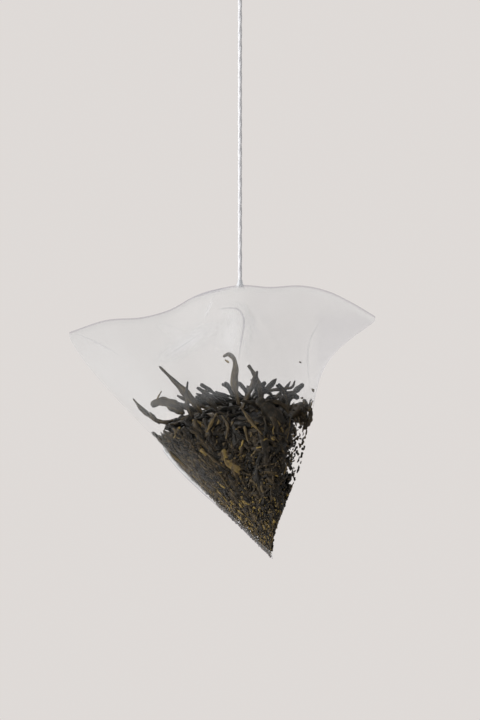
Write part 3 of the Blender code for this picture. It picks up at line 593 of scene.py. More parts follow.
# Painted highlights along the folds.
for sheen_line, sheen_width, sheen_cover in PAINTED_SHEENS:
    painted_sheen = fold_height(inside, sheen_line, sheen_width, 1.0) * ease(-sin, *FRONT_FADE)
    cover = cover + sheen_cover * painted_sheen
    grey_and_painted_light = grey_and_painted_light * (1.0 - painted_sheen)
weld_cover = np.array(WELD_COVERS)[:, None] + np.zeros(FILM_COLUMNS)
weld_melted = np.array(WELD_GREYS)[:, None] + np.zeros(FILM_COLUMNS)
low_weld_cover = weld_cover[::-1] + COVER_VEIL / 2 * pinched[-1]
low_weld_melted = weld_melted[::-1] * (1.0 - WELD_PALE * pinched[-1])
point_values(bag, "cover", np.concatenate((weld_cover, cover, low_weld_cover, 0.0 * cover)).ravel())
point_values(bag, "grey_and_painted_light", np.concatenate((weld_melted, grey_and_painted_light, low_weld_melted, grey_and_painted_light)).ravel())


def weave_places(piece, flat):
    """Writes where a piece's corners lie on the flat film, flat holding two lengths for each point. A face
    that closes the girth takes its first corners as lying one girth further on."""
    corner_point = np.empty(len(piece.data.loops), dtype=np.int32)
    counts = np.empty(len(piece.data.polygons), dtype=np.int32)
    starts = np.empty(len(piece.data.polygons), dtype=np.int32)
    piece.data.loops.foreach_get("vertex_index", corner_point)
    piece.data.polygons.foreach_get("loop_total", counts)
    piece.data.polygons.foreach_get("loop_start", starts)
    places = flat.reshape(-1, 2)[corner_point]
    reach = np.maximum.reduceat(places[:, 0], starts) - np.minimum.reduceat(places[:, 0], starts)
    wraps = np.repeat(reach > SEAM_WIDTH, counts) & (places[:, 0] < SEAM_WIDTH / 2)
    places[:, 0] += 2 * SEAM_WIDTH * wraps
    weave = piece.data.uv_layers.new(name="weave")
    weave.uv.foreach_set("vector", places.astype(np.float32).ravel())


weld_length = np.linspace(0.0, WELD_HEIGHT, len(weld_levels))
row_length = np.concatenate((weld_length - WELD_HEIGHT, down * FILM_LENGTH, FILM_LENGTH + weld_length,
                             down * FILM_LENGTH))
weave_places(bag, np.stack(np.broadcast_arrays(around * 2 * SEAM_WIDTH, row_length[:, None]), axis=-1))


# Sharp creases in the front film. The film is folded double along them, so they are thin flat strips of it
# that lie on its outer face and fade at both ends. Their grey is painted shade on the shaded side of a
# fold, and the palest of them are painted highlights.
front = film(np.linspace(0.51, 0.99, 140)[None, :], np.linspace(0.05, 0.99, 189)[:, None]).reshape(-1, 3)


def depth_of_front(flat):
    """How far back the front film's inner face lies at places seen from the front: a mean of the film
    points there, each weighted by a bell curve of its distance."""
    apart = (front[None, :, 0] - flat[:, 0, None]) ** 2 + (front[None, :, 2] - flat[:, 1, None]) ** 2
    nearness = np.exp(-(apart - apart.min(axis=1, keepdims=True)) / FRONT_BLEND ** 2)
    return (nearness * front[:, 1]).sum(axis=1) / nearness.sum(axis=1)


turn = 2 * np.pi * np.arange(CREASE_SIDES)[None, :, None] / CREASE_SIDES
share = np.linspace(0.0, 1.0, CREASE_RINGS)
for place, (crease_line, crease_width, crease_cover, crease_painted_grey) in enumerate(PAINTED_CREASES):
    flat = curve_through(np.array(crease_line) * SEAM_WIDTH, share) + (0.0, seam_top_z)
    line = np.stack((flat[:, 0], depth_of_front(flat) - FILM_WALL - CREASE_THICKNESS, flat[:, 1]), axis=-1)
    across = unit(np.cross(np.gradient(line, axis=0), BACKWARDS))
    narrow = (crease_width / 2 * np.sin(np.pi * (0.06 + 0.88 * share)) ** 0.5)[:, None, None]
    strip = line[:, None] + narrow * np.cos(turn) * across[:, None]
    strip = strip + CREASE_THICKNESS / 2 * np.sin(turn) * BACKWARDS
    strip = np.concatenate((strip.reshape(-1, 3), line[[0, -1]]))
    crease = new_piece("film_crease_%d" % (place + 1), strip, capped_tube(CREASE_RINGS, CREASE_SIDES),
                       mesh_film)
    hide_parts("mesh_bag")
    fade = np.append(np.repeat(np.sin(np.pi * share) ** 0.7, CREASE_SIDES), (0.0, 0.0))
    point_values(crease, "cover", crease_cover / 2 * fade)
    point_values(crease, "grey_and_painted_light", crease_painted_grey + 0.0 * fade)
    weave_places(crease, strip[:, [0, 2]])


# Gathered film. Where the thread goes into the seam the film is drawn up round it in small pleats, melted
# to the thread and to the weld below.
GATHER_TOP = 0.9 * MM
GATHER_BOTTOM = -1.3 * MM
GATHER_NECK = 0.38 * MM
GATHER_WIDE = 1.3 * MM
GATHER_DEEP = 0.60 * MM
GATHER_COVER = 0.75
GATHER_GREY = 0.15
PLEATS = 7
GATHER_SIDES = 84
GATHER_RINGS = 36

fall = np.linspace(0.0, 1.0, GATHER_RINGS)[:, None]
turn = 2 * np.pi * np.arange(GATHER_SIDES)[None, :] / GATHER_SIDES
flare = fall ** 1.6
pleat = 1.0 + (0.02 + 0.05 * fall) * np.cos(PLEATS * turn + 2.0 * fall)
gather_x = (GATHER_NECK + (GATHER_WIDE - GATHER_NECK) * flare) * pleat * np.cos(turn)
gather_y = (GATHER_NECK + (GATHER_DEEP - GATHER_NECK) * np.sin(np.pi * 0.5 * fall)) * pleat * np.sin(turn)
gather_y = gather_y * (1.0 - 0.75 * ease(fall, 0.55, 1.0))
gather_z = seam_top_z + GATHER_TOP + (GATHER_BOTTOM - GATHER_TOP) * fall + 0.0 * turn
gather_points = np.stack((gather_x, gather_y, gather_z), axis=-1)[::-1].reshape(-1, 3)
gather_ends = np.array(((0.0, 0.0, seam_top_z + GATHER_BOTTOM), (0.0, 0.0, seam_top_z + GATHER_TOP)))
gather_points = np.concatenate((gather_points, gather_ends))
gathered_film = new_piece("gathered_film", gather_points, capped_tube(GATHER_RINGS, GATHER_SIDES), mesh_film)
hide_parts("mesh_bag")
gather_fall = np.append(np.repeat(fall[::-1, 0], GATHER_SIDES), (1.0, 0.0))
point_values(gathered_film, "cover", GATHER_COVER * (1.0 - ease(gather_fall, 0.20, 0.75)) + 0.02)
point_values(gathered_film, "grey_and_painted_light", GATHER_GREY + 0.0 * gather_fall)
weave_places(gathered_film, gather_points[:, [0, 2]])


# Tea. Whole leaves rolled and dried dark green-black, with brown stems, golden tips and broken bits. The
# packed heap is many small pieces lying against the film round a dark middle.
LEAF_PALETTE = (
    (0.00, (0.002, 0.0017, 0.001)), (0.35, (0.009, 0.0073, 0.0045)), (0.55, (0.034, 0.025, 0.014)),
    (0.72, (0.092, 0.066, 0.031)), (0.88, (0.165, 0.114, 0.034)), (1.00, (0.260, 0.182, 0.048)),
)


def leaf_material():
    """Dried leaf: each piece's tone picks its colour, with streaks along the roll and a leathery skin."""
    material, tree, surface = new_material("dried_leaf")
    streaks = add_streaks(tree, (350.0, 2800.0, 2800.0), 4.0)
    grain = add_attribute(tree, "grain").outputs["Vector"]
    patches = add_node(tree, "TexNoise", {"Vector": grain, "Scale": 900.0, "Detail": 2.0}).outputs["Fac"]
    tone = add_attribute(tree, "tone").outputs["Fac"]
    for noise, strength in ((streaks, 0.70), (patches, 0.45)):
        change = add_maths(tree, "MULTIPLY", add_maths(tree, "SUBTRACT", noise, 0.5), strength)
        tone = add_maths(tree, "ADD", tone, change)
    shader = add_node(tree, "BsdfPrincipled", {
        "Base Color": add_ramp(tree, tone, LEAF_PALETTE), "Normal": add_bump(tree, streaks, 0.10 * MM, 0.8),
        "Roughness": 0.55, "Specular IOR Level": 0.18})
    tree.links.new(shader.outputs[0], surface)
    return material


dried_leaf = leaf_material()


def rolled_pieces(name, lines, widths, thickness, turns, tones, sides, chance, slot, facing=None, taper=0.0):
    """Many rolled leaves as one mesh. A flat wrinkled section is carried along each middle line, turning as
    it goes: an ellipse whose radius waves three and five times round, full in the middle and thin at both
    tips. lines holds one line of equally many points for each leaf, the other sizes one number each. The
    flat side looks along facing in the middle of the line, or any way if there is none. taper is the share
    of the width that is gone at the far end."""
    count, rings = lines.shape[:2]
    share = np.linspace(0.0, 1.0, rings)[None, :, None]
    run = unit(np.gradient(lines, axis=1))
    lean = unit(chance.normal(size=(count, 1, 3))) if facing is None else facing
    side = unit(np.cross(run, lean))
    normal = np.cross(run, side)
    theta = 2 * np.pi * np.arange(sides) / sides
    phase = chance.uniform(0.0, 2 * np.pi, (count, 4, 1, 1))
    full = (0.25 + 0.75 * np.sin(np.pi * (0.06 + 0.9 * share)) ** 0.6) * (1.0 - taper * share)
    swell = 1.0 + 0.16 * np.sin(9.0 * share + phase[:, 0]) + 0.10 * np.sin(23.0 * share + phase[:, 1])
    wrinkle = 1.0 + 0.16 * np.cos(3 * theta + phase[:, 2] + 5.0 * share)
    wrinkle = wrinkle + 0.09 * np.cos(5 * theta + phase[:, 3] - 8.0 * share)
    radius = widths[:, None, None] / 2 * full * swell * wrinkle
    flat_x, flat_y = radius * np.cos(theta), radius * thickness[:, None, None] * np.sin(theta)
    roll = 2 * np.pi * turns[:, None, None] * (share - 0.5)
    across = flat_x * np.cos(roll) - flat_y * np.sin(roll)
    upward = flat_x * np.sin(roll) + flat_y * np.cos(roll)
    skin = lines[:, :, None] + across[..., None] * side[:, :, None] + upward[..., None] * normal[:, :, None]
    tips = np.stack((lines[:, 0] - 0.3 * widths[:, None] * run[:, 0] * 0.5,
                     lines[:, -1] + 0.3 * widths[:, None] * run[:, -1] * 0.5), axis=1)
    points = np.concatenate((skin.reshape(count, -1, 3), tips), axis=1)
    shift = (np.arange(count) * points.shape[1])[:, None, None]
    faces = [(part[None] + shift).reshape(-1, part.shape[1]) for part in capped_tube(rings, sides)]
    piece = new_piece(name, points, faces, dried_leaf)
    length = np.linalg.norm(np.diff(lines, axis=1), axis=-1).sum(axis=1)
    offset = 20.0 * MM * chance.uniform(size=(count, 1, 3))
    grain = np.stack(np.broadcast_arrays(share * length[:, None, None], flat_x, flat_y), axis=-1)
    grain = np.concatenate((grain.reshape(count, -1, 3), np.zeros((count, 2, 3))), axis=1) + offset
    point_values(piece, "grain", grain.reshape(-1, 3))
    point_values(piece, "tone", np.repeat(tones, points.shape[1]))
    return piece


def rolled_leaf(name, node, line, sizes, sides, chance, slot, facing=None, taper=0.0):
    """One rolled leaf that stands for a node. Its sizes are the width, thickness, turns and tone."""
    leaf = rolled_pieces(name, line[None], *map(np.atleast_1d, sizes), sides, chance, slot, facing, taper)
    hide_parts(node)


# Leaves that stand out of the heap. Whole leaves and stems, each rolled and dried by itself, stuck loosely
# among the others. Each is drawn where its solid is: the steps of its line are millimetres from its foot,
# then come its width, thickness, turns, tone and taper.
STANDING_LEAVES = (
    ("leaf_pointed", ((0, 0, 0), (-1.6, 0.5, 2.2), (-3.6, 1.2, 4.4), (-5.3, 1.8, 6.1), (-7.2, 2.4, 8.0)),
     1.55, 0.45, 0.15, 0.56, 0.60),
    ("stem_knobby", ((0, 0, 0), (-0.9, 0.6, 1.6), (-1.2, 1.4, 3.9), (-1.0, 2.0, 6.2)),
     0.95, 0.85, 0.5, 0.45, 0.5),
    ("leaf_arched", ((0, 0, 0), (-1.0, 0.1, 1.5), (-2.2, 0.3, 2.5), (-3.7, 0.5, 3.1)),
     0.90, 0.60, 0.3, 0.42, 0.3),
    ("leaf_hooked", ((0, 0, 0), (-0.6, 0.2, 2.2), (-0.8, 0.4, 4.4), (-0.6, 0.6, 6.6), (-1.0, 0.8, 8.1),
                     (-1.9, 0.9, 8.7), (-2.7, 1.0, 8.3)), 1.20, 0.55, 0.15, 0.64, 0.15),
    ("leaf_crossed_left", ((0, 0, 0), (0.9, 0.4, 2.0), (1.9, 0.9, 4.4), (2.6, 1.3, 6.4)),
     0.85, 0.70, 0.1, 0.54, -0.2),
    ("leaf_crossed_right", ((0, 0, 0), (-0.4, 0.4, 3.0), (-1.2, 0.8, 5.4), (-2.2, 1.1, 7.0)),
     0.70, 0.75, 0.1, 0.54, -0.5),
    ("stem_level", ((0, 0, 0), (0.9, -0.1, 1.6), (2.6, -0.3, 2.1), (4.6, -0.4, 2.3), (6.1, -0.5, 2.7),
                    (6.5, -0.5, 3.7)), 0.75, 0.80, 0.4, 0.50, 0.2),
    ("stem_dark_tip", ((0, 0, 0), (0.1, 0.1, 1.5), (-0.5, 0.2, 3.0), (-1.7, 0.3, 4.4)),
     0.60, 0.80, 0.2, 0.26, -0.3),
    ("leaf_far_right", ((0, 0, 0), (1.0, 0.1, 0.9), (2.2, 0.3, 1.2), (3.2, 0.6, 0.7)),
     1.60, 0.35, 0.10, 0.45, 0.0),
    ("leaf_far_left", ((0, 0, 0), (-1.6, 0.9, 1.2), (-3.2, 1.7, 2.6), (-4.6, 2.4, 4.3)),
     0.85, 0.70, 0.4, 0.56, 0.2),
    ("leaf_striped", ((0, 0, 0), (-1.7, 0.5, 1.2), (-3.8, 1.2, 2.0), (-5.6, 2.0, 1.5)),
     1.75, 0.40, 0.05, 0.56, 0.0),
    ("stem_low_left", ((0, 0, 0), (-1.4, 0.6, -0.3), (-2.8, 1.3, 0.1), (-4.0, 1.9, 1.4)),
     0.70, 0.80, 0.3, 0.52, 0.0),
)
HEAP_LEAVES = 30
HEAP_LEAF_SIZES = ((0.80 * MM, 1.15 * MM), (0.45, 0.8), (0.3, 0.8), (0.25, 0.5))    # least and most of each
CAD_LEAF_STEPS = 8
LEAF_RINGS = 42
LEAF_SIDES = 18

leaf_share = np.linspace(0.0, 1.0, LEAF_RINGS)


def box_middle(points):
    """Middle of the box round an array of points."""
    return (points.min(axis=0) + points.max(axis=0)) / 2


def node_points(name):
    """The different points of a CAD node."""
    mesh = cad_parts[name].data
    points = np.empty(3 * len(mesh.vertices), dtype=np.float32)
    mesh.vertices.foreach_get("co", points)
    return np.unique(points.reshape(-1, 3), axis=0).astype(float)


def middle_line(name):
    """Middle line of a nearly straight CAD leaf: its points in order along its longest direction, which is
    the first axis of their spread, averaged ring by ring."""
    points = node_points(name)
    spread = points - points.mean(axis=0)
    longest = np.linalg.svd(spread, full_matrices=False)[2][0]
    order = points[np.argsort(spread @ longest)]
    rings = np.array_split(order, CAD_LEAF_STEPS)
    return curve_through(np.array([ring.mean(axis=0) for ring in rings]), leaf_share)


for place, (name, steps, width, thickness, turns, tone, taper) in enumerate(STANDING_LEAVES):
    line = curve_through(np.array(steps) * MM, leaf_share)
    line = line + box_middle(node_points(name)) - box_middle(line)
    rolled_leaf("dried_" + name, name, line, (width * MM, thickness, turns, tone), LEAF_SIDES,
                np.random.default_rng(40 + place), "rolled_leaf", -BACKWARDS, taper)

for place in range(1, HEAP_LEAVES + 1):
    name = "heap_leaf_%02d" % place
    chance = np.random.default_rng(100 + place)
    sizes = [chance.uniform(*span) for span in HEAP_LEAF_SIZES]
    rolled_leaf("dried_" + name, name, middle_line(name), sizes, LEAF_SIDES, chance, "rolled_leaf")


# Packed tea. Below the crest the leaves are pressed against the film round a middle solid, which stands for
# the leaves deep inside and has the darkest leaf tone as painted shade. The largest lie where the solid has
# its ridges, each turned from the one before it by the golden angle.
TEA_GAP = 0.36 * MM
BARE_RIGHT = 2.0 * MM           # width of the strip down the right edge that holds only specks
BED_LEAVES = 130
BED_FIRST = 0.34                # how far down the film the first of them lies, and the last
BED_LAST = 0.96
BED_LEAF_LENGTH = 7.0 * MM
BED_LEAF_WIDTH = 2.2 * MM
BED_LEAF_RELIEF = 0.9 * MM
GOLDEN_SHARE = (np.sqrt(5.0) - 1.0) / 2.0
GOLDEN_ANGLE = np.pi * (3.0 - np.sqrt(5.0))
CORE_COLUMNS = 120
CORE_ROWS = 44
CORE_RINGS = 14
CORE_DEPTH = 0.35 * MM
CORE_BELOW = 0.6 * MM           # from the heap's edge down to where its sides start, and to its top
CORE_TOP = 1.0 * MM
CORE_SHARE = 0.965              # of the way from the middle to the film
# the middle's tone: darkest leaf colour, painted shade deep among the leaves
CORE_SHADE_TONE = 0.10
THIN_AT = 0.35                  # thickness of the flat tip as a share of what the straight sides would give
LOWEST_CORE = 0.97
UNDER_FILM = 0.12 * MM          # between a leaf's back and the film
LEFT_DIP = 2.5 * MM             # how much lower the tea lies in the corner at the left
LEFT_DIP_START = 8.0 * MM
LEFT_DIP_END = 14.0 * MM

levels = np.linspace(0.05, 0.99, 189)
level_loops = film(np.arange(96)[None, :] / 96, levels[:, None])
level_middle = level_loops.mean(axis=1)
level_right = level_loops[..., 0].max(axis=1)


def film_facing(around, down):
    """Points of the film's inner face and the outward directions there."""
    step = 0.004
    beside = film(around + step, down) - film(around - step, down)
    lower = film(around, down + step) - film(around, down - step)
    return film(around, down), unit(np.cross(lower, beside))


def bare_share(points, down):
    """How bare the right edge is: 1 at the edge and 0 further in, and 0 where the tea fills the tip."""
    from_edge = np.interp(down, levels, level_right) - points[..., 0]
    return (1.0 - ease(from_edge, 0.0, 2.5 * BARE_RIGHT)) * (1.0 - ease(down, 0.70, 0.90))


def tea_edge(points):
    """Height of the heap's edge against the film, which dips in the corner at the left."""
    dip = LEFT_DIP * ease(-points[..., 0], LEFT_DIP_START, LEFT_DIP_END)
    return heap_top(points[..., 0], points[..., 1]) - dip


def level_centre(down):
    """Middle of the film's loop at each level."""
    return np.stack([np.interp(down, levels, level_middle[:, axis]) for axis in range(3)], axis=-1)


def leaf_backs(around, down):
    """Height of the leaves pressed against the film, from 0 in the hollows to 1 along a leaf's back: a ridge
    for each leaf, bell-shaped across and full along most of its length."""
    number = np.arange(BED_LEAVES)
    place = BED_FIRST + (BED_LAST - BED_FIRST) * (number + 0.5) / BED_LEAVES
    across = ((around[..., None] - number * GOLDEN_SHARE + 0.5) % 1.0 - 0.5) * 2 * SEAM_WIDTH
    below = (down[..., None] - place) * FILM_LENGTH
    cos, sin = np.cos(number * GOLDEN_ANGLE), np.sin(number * GOLDEN_ANGLE)
    along, beside = across * cos + below * sin, below * cos - across * sin
    return np.exp(-(2 * along / BED_LEAF_LENGTH) ** 4 - (2 * beside / BED_LEAF_WIDTH) ** 2).max(axis=-1)


around = np.arange(CORE_COLUMNS) / CORE_COLUMNS
fine = np.linspace(0.1, LOWEST_CORE, 400)
wall = film(around[None, :], fine[:, None])
below = wall[..., 2] < tea_edge(wall) - CORE_BELOW
below[fine > 0.93] = True
first = fine[np.argmax(below, axis=0)]
down = first[None, :] + (fine[-1] - first[None, :]) * np.linspace(0.0, 1.0, CORE_ROWS)[:, None]
wall, away = film_facing(around[None, :], down)
middle = level_centre(down)
bare = bare_share(wall, down)
thin = THIN_AT * SEAM_WIDTH / 2 * (1.0 - down)
hollow = (1.0 - leaf_backs(np.broadcast_to(around, down.shape), down)) * np.minimum(BED_LEAF_RELIEF, thin)
side = wall - TEA_GAP * away + BARE_RIGHT * bare[..., None] * unit(middle - wall)
side = middle + (side - middle) * CORE_SHARE
side = side - (hollow + np.minimum(CORE_DEPTH, 0.5 * thin))[..., None] * away
centre = side[0].mean(axis=0)
ring_share = np.linspace(0.0, 1.0, CORE_RINGS, endpoint=False)[1:, None, None]
rings = centre + (side[0] - centre) * ring_share
rings[..., 2] = tea_edge(rings) - CORE_TOP
core = np.concatenate((rings, side))
peak = (centre[0], centre[1], heap_top(centre[0], centre[1]) - CORE_TOP)
core_points = np.concatenate((core.reshape(-1, 3), [peak]))
core_faces = closed_skin(len(core), CORE_COLUMNS, 0, False)
fan = np.stack((np.full(CORE_COLUMNS, len(core_points) - 1), np.arange(CORE_COLUMNS),
                (np.arange(CORE_COLUMNS) + 1) % CORE_COLUMNS), axis=-1)
core_faces = [core_faces[0], core_faces[2], core_faces[4], fan]
tea_core = new_piece("tea_core", core_points, core_faces, dried_leaf)
point_values(tea_core, "grain", core_points)
point_values(tea_core, "tone", np.full(len(core_points), CORE_SHADE_TONE))
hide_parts("tea_bed")


def lying_pieces(name, u, v, angle, rings, sides, lengths, widths, thickness, depths, tones, gold, chance):
    """Pieces that lie against the film. Each middle line runs over the film through a place (u, v) at an
    angle, with a slight bend, sunk inwards by its depth and lifted off the film at both ends. The lower
    they lie the more of them are golden."""
    count = len(u)
    bend = chance.normal(0.0, 0.45, (count, 1))
    size = chance.uniform(*lengths, (count, 1))
    share = np.linspace(-0.5, 0.5, rings)[None, :]
    turned = angle[:, None] + bend * share
    line_u = u[:, None] + size * share * np.cos(turned) / (2 * SEAM_WIDTH)
    line_v = np.clip(v[:, None] + size * share * np.sin(turned) / FILM_LENGTH, 0.05, 0.988)
    line, away = film_facing(line_u, line_v)
    thin = 0.40 * SEAM_WIDTH / 2 * (1.0 - line_v)
    width = np.minimum(chance.uniform(*widths, count), 1.2 * thin.min(axis=1))
    flatness = chance.uniform(*thickness, count)
    depth = UNDER_FILM + chance.uniform(*depths, (count, 1)) + 0.6 * width[:, None] * flatness[:, None]
    depth = depth * (1.0 + share ** 2 * chance.uniform(0.0, 1.8, (count, 1)))
    line = line - np.minimum(depth, thin + 0.1 * MM)[..., None] * away
    low = ease(v, 0.66, 0.98)
    golden = chance.uniform(size=count) < gold * (0.5 + 1.7 * low)
    tone = np.where(golden, chance.uniform(0.68, 0.95, count), chance.uniform(*tones, count) + 0.02 * low)
    facing = unit(away + 0.25 * chance.normal(size=(count, 1, 3)))
    piece = rolled_pieces(name, line, width, flatness, chance.uniform(-0.2, 0.2, count), tone, sides, chance,
                          "packed_tea", facing)
    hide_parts("tea_bed")


def in_the_tea(u, v, chance):
    """Which places on the film have tea behind them: below the heap's top, few of them at the right edge."""
    spot = film(u, v)
    return (spot[:, 2] < tea_edge(spot)) & (
        chance.uniform(0.0, 1.0, len(u)) > 1.3 * bare_share(spot, v) - 0.1)


number = np.arange(BED_LEAVES)
chance = np.random.default_rng(5)
u, v = number * GOLDEN_SHARE % 1.0, BED_FIRST + (BED_LAST - BED_FIRST) * (number + 0.5) / BED_LEAVES
wanted = in_the_tea(u, v, chance)
lying_pieces("packed_leaves_1", u[wanted], v[wanted], (number * GOLDEN_ANGLE)[wanted], 25, 12,
             (0.85 * BED_LEAF_LENGTH, 1.0 * BED_LEAF_LENGTH), (0.9 * MM, 1.7 * MM), (0.35, 0.7),
             (0.0, 0.2 * MM), (0.20, 0.55), 0.03, chance)


def strewn_pieces(name, count, lowest, sorting, *shape, seed):
    """Pieces strewn at random over the film wherever tea lies behind it. The higher the sorting the more of
    them lie low down, as small bits run down between the leaves; below zero they keep to the upper part.
    shape is their rings and sides, the least and most of length, width, thickness, depth and tone, and the
    share of golden ones."""
    chance = np.random.default_rng(seed)
    share = chance.uniform(0.0, 1.0, 5 * count) ** np.exp(-sorting)
    u, v = chance.uniform(0.0, 1.0, 5 * count), 0.30 + (lowest - 0.30) * share
    wanted = np.flatnonzero(in_the_tea(u, v, chance))[:count]
    lying_pieces(name, u[wanted], v[wanted], chance.uniform(0.0, 2 * np.pi, len(wanted)), *shape, chance)


strewn_pieces("packed_leaves_2", 360, 0.93, -0.3, 13, 8, (2.2 * MM, 5.5 * MM), (0.7 * MM, 1.5 * MM),
              (0.4, 0.8), (0.1 * MM, 0.9 * MM), (0.10, 0.50), 0.03, seed=7)
strewn_pieces("packed_leaves_3", 260, 0.90, -0.3, 13, 8, (2.0 * MM, 4.5 * MM), (0.5 * MM, 1.1 * MM),
              (0.4, 0.8), (0.0, 0.4 * MM), (0.20, 0.60), 0.04, seed=8)
strewn_pieces("packed_stems", 220, 0.95, 0.0, 12, 6, (2.0 * MM, 5.5 * MM), (0.25 * MM, 0.50 * MM),
              (0.7, 1.0), (0.0, 0.3 * MM), (0.45, 0.72), 0.08, seed=11)
strewn_pieces("broken_bits", 1200, 0.975, 0.3, 6, 7, (0.7 * MM, 2.2 * MM), (0.4 * MM, 0.9 * MM),
              (0.35, 0.8), (0.0, 0.5 * MM), (0.10, 0.62), 0.08, seed=12)
strewn_pieces("crumbs", 2400, 0.984, 0.5, 5, 6, (0.4 * MM, 1.2 * MM), (0.25 * MM, 0.55 * MM), (0.4, 0.9),
              (0.0, 0.4 * MM), (0.15, 0.68), 0.12, seed=13)
strewn_pieces("dust", 3600, 0.988, 0.8, 3, 5, (0.2 * MM, 0.5 * MM), (0.15 * MM, 0.32 * MM), (0.5, 1.0),
              (0.0, 0.2 * MM), (0.2, 0.75), 0.18, seed=17)


# Dust in the lower weld. The finest bits were caught between the layers when the bag was closed.
WELD_DUST = 2200
WELD_DUST_RINGS = 3
BACK_RIM = 1.1 * MM             # height of the clear rim towards the back of the weld

chance = np.random.default_rng(29)
place = chance.uniform(-0.985, 0.985, (WELD_DUST, 1))
height = 0.15 * MM + 2.6 * MM * chance.uniform(0.0, 1.0, (WELD_DUST, 1)) ** 1.3
height = height + BACK_RIM * ease(place, -0.35, 0.20) * chance.uniform(0.4, 1.0, (WELD_DUST, 1))
share = np.linspace(-0.5, 0.5, WELD_DUST_RINGS)[None, :]
size = chance.uniform(0.3 * MM, 0.8 * MM, (WELD_DUST, 1))
heading = chance.uniform(0.0, np.pi, (WELD_DUST, 1))
line = seam_line(LOWER_SEAM, place + size * share * np.cos(heading) / (SEAM_WIDTH / 2))
line = line + (height + size * share * np.sin(heading))[..., None] * UP
weld_dust = rolled_pieces("weld_dust", line, 0.22 * MM + 0.10 * height[:, 0],
                          chance.uniform(0.5, 1.0, WELD_DUST), np.zeros(WELD_DUST),
                          chance.uniform(0.20, 0.78, WELD_DUST), 5, chance, "packed_tea")
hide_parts("tea_bed")


# Specks in the bare strip. A few fine bits cling to the film down the right edge and a little above the
# heap.
SPECKS = 190
SPECKS_ABOVE = 3.0 * MM

chance = np.random.default_rng(19)
u, v = chance.uniform(-0.22, 0.12, 6 * SPECKS), chance.uniform(0.30, 0.90, 6 * SPECKS)
spot = film(u, v)
from_edge = np.interp(v, levels, level_right) - spot[:, 0]
wanted = (from_edge < 2.2 * BARE_RIGHT) & (spot[:, 2] < heap_top(spot[:, 0], spot[:, 1]) + SPECKS_ABOVE)
wanted = np.flatnonzero(wanted)[:SPECKS]
lying_pieces("specks", u[wanted], v[wanted], chance.uniform(0.0, 2 * np.pi, len(wanted)), 5, 6,
             (0.4 * MM, 1.5 * MM), (0.2 * MM, 0.55 * MM), (0.5, 0.9), (0.0, 0.1 * MM), (0.25, 0.7), 0.08,
             chance)


# Leaves that the photo shows against the front film: a golden tip, brown stems and broad leaves. Each line
# is given in pixels of the photo and laid on the film there.
SHOWN_LEAVES = (
    (((224, 449), (228, 462), (239, 470), (250, 478)), 1.10, 0.45, 0.2, 0.80),
    (((217, 413), (212, 422), (207, 432)), 0.50, 0.70, 0.2, 0.72),
    (((222, 415), (228, 426), (226, 438)), 0.45, 0.80, 0.2, 0.70),
    (((241, 407), (251, 421), (262, 434)), 0.60, 0.80, 0.3, 0.66),
    (((245, 426), (246, 433), (248, 440)), 0.50, 0.80, 0.2, 0.72),
    (((170, 451), (179, 460), (188, 468)), 0.50, 0.80, 0.2, 0.70),
    (((193, 459), (198, 472), (203, 485)), 0.45, 0.80, 0.2, 0.68),
    (((258, 400), (271, 412), (285, 428)), 2.60, 0.35, 0.1, 0.36),
    (((290, 407), (298, 413), (305, 424)), 2.60, 0.30, 0.1, 0.52),
    (((296, 405), (303, 406), (311, 411)), 1.60, 0.35, 0.1, 0.55),
    (((311, 411), (309, 419), (304, 429)), 1.10, 0.45, 0.1, 0.50),
    (((262, 405), (268, 401), (277, 402), (285, 407), (288, 415)), 0.80, 0.60, 0.3, 0.50),
    (((276, 385), (283, 391), (286, 398), (288, 408)), 0.70, 0.70, 0.3, 0.40),
    (((312, 389), (313, 390), (314, 392)), 0.40, 0.60, 0.1, 0.75),
    (((299, 362), (300, 362), (301, 363)), 0.25, 0.60, 0.1, 0.65),
    (((225, 360), (227, 361), (229, 363)), 0.35, 0.60, 0.1, 0.75),
    (((157, 400), (159, 396), (162, 391)), 0.25, 0.60, 0.1, 0.90),
)
THREAD_PIXEL_X = 240.0

for place, (pixels, width, thickness, turns, tone) in enumerate(SHOWN_LEAVES):
    flat = (np.array(pixels) - (THREAD_PIXEL_X, THREAD_PIXEL_Y)) * (PIXEL, -PIXEL)
    flat = curve_through(flat, np.linspace(0.0, 1.0, 24)) + (0.0, seam_top_z)
    behind = depth_of_front(flat) + UNDER_FILM + 0.5 * thickness * width * MM
    line = np.stack((flat[:, 0], behind, flat[:, 1]), axis=-1)
    rolled_leaf("shown_leaf_%02d" % (place + 1), "tea_bed", line, (width * MM, thickness, 0.3 * turns, tone),
                12, np.random.default_rng(60 + place), "packed_tea", -BACKWARDS)


# Loose leaves on the heap. They lie every way on its top and fill it out to the film.
LOOSE_LEAVES = 280
LOOSE_SIZES = ((0.6 * MM, 1.2 * MM), (0.4, 0.8), (-0.6, 0.6), (0.15, 0.55))     # least and most of each
LOOSE_RINGS = 12
LOOSE_SIDES = 8

rim = side[0] - centre
rim = rim[np.argsort(np.arctan2(rim[:, 1], rim[:, 0]))]


def rim_reach(angle):
    """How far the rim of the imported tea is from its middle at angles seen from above."""
    return np.interp(angle, np.arctan2(rim[:, 1], rim[:, 0]), np.hypot(rim[:, 0], rim[:, 1]),
                     period=2 * np.pi)


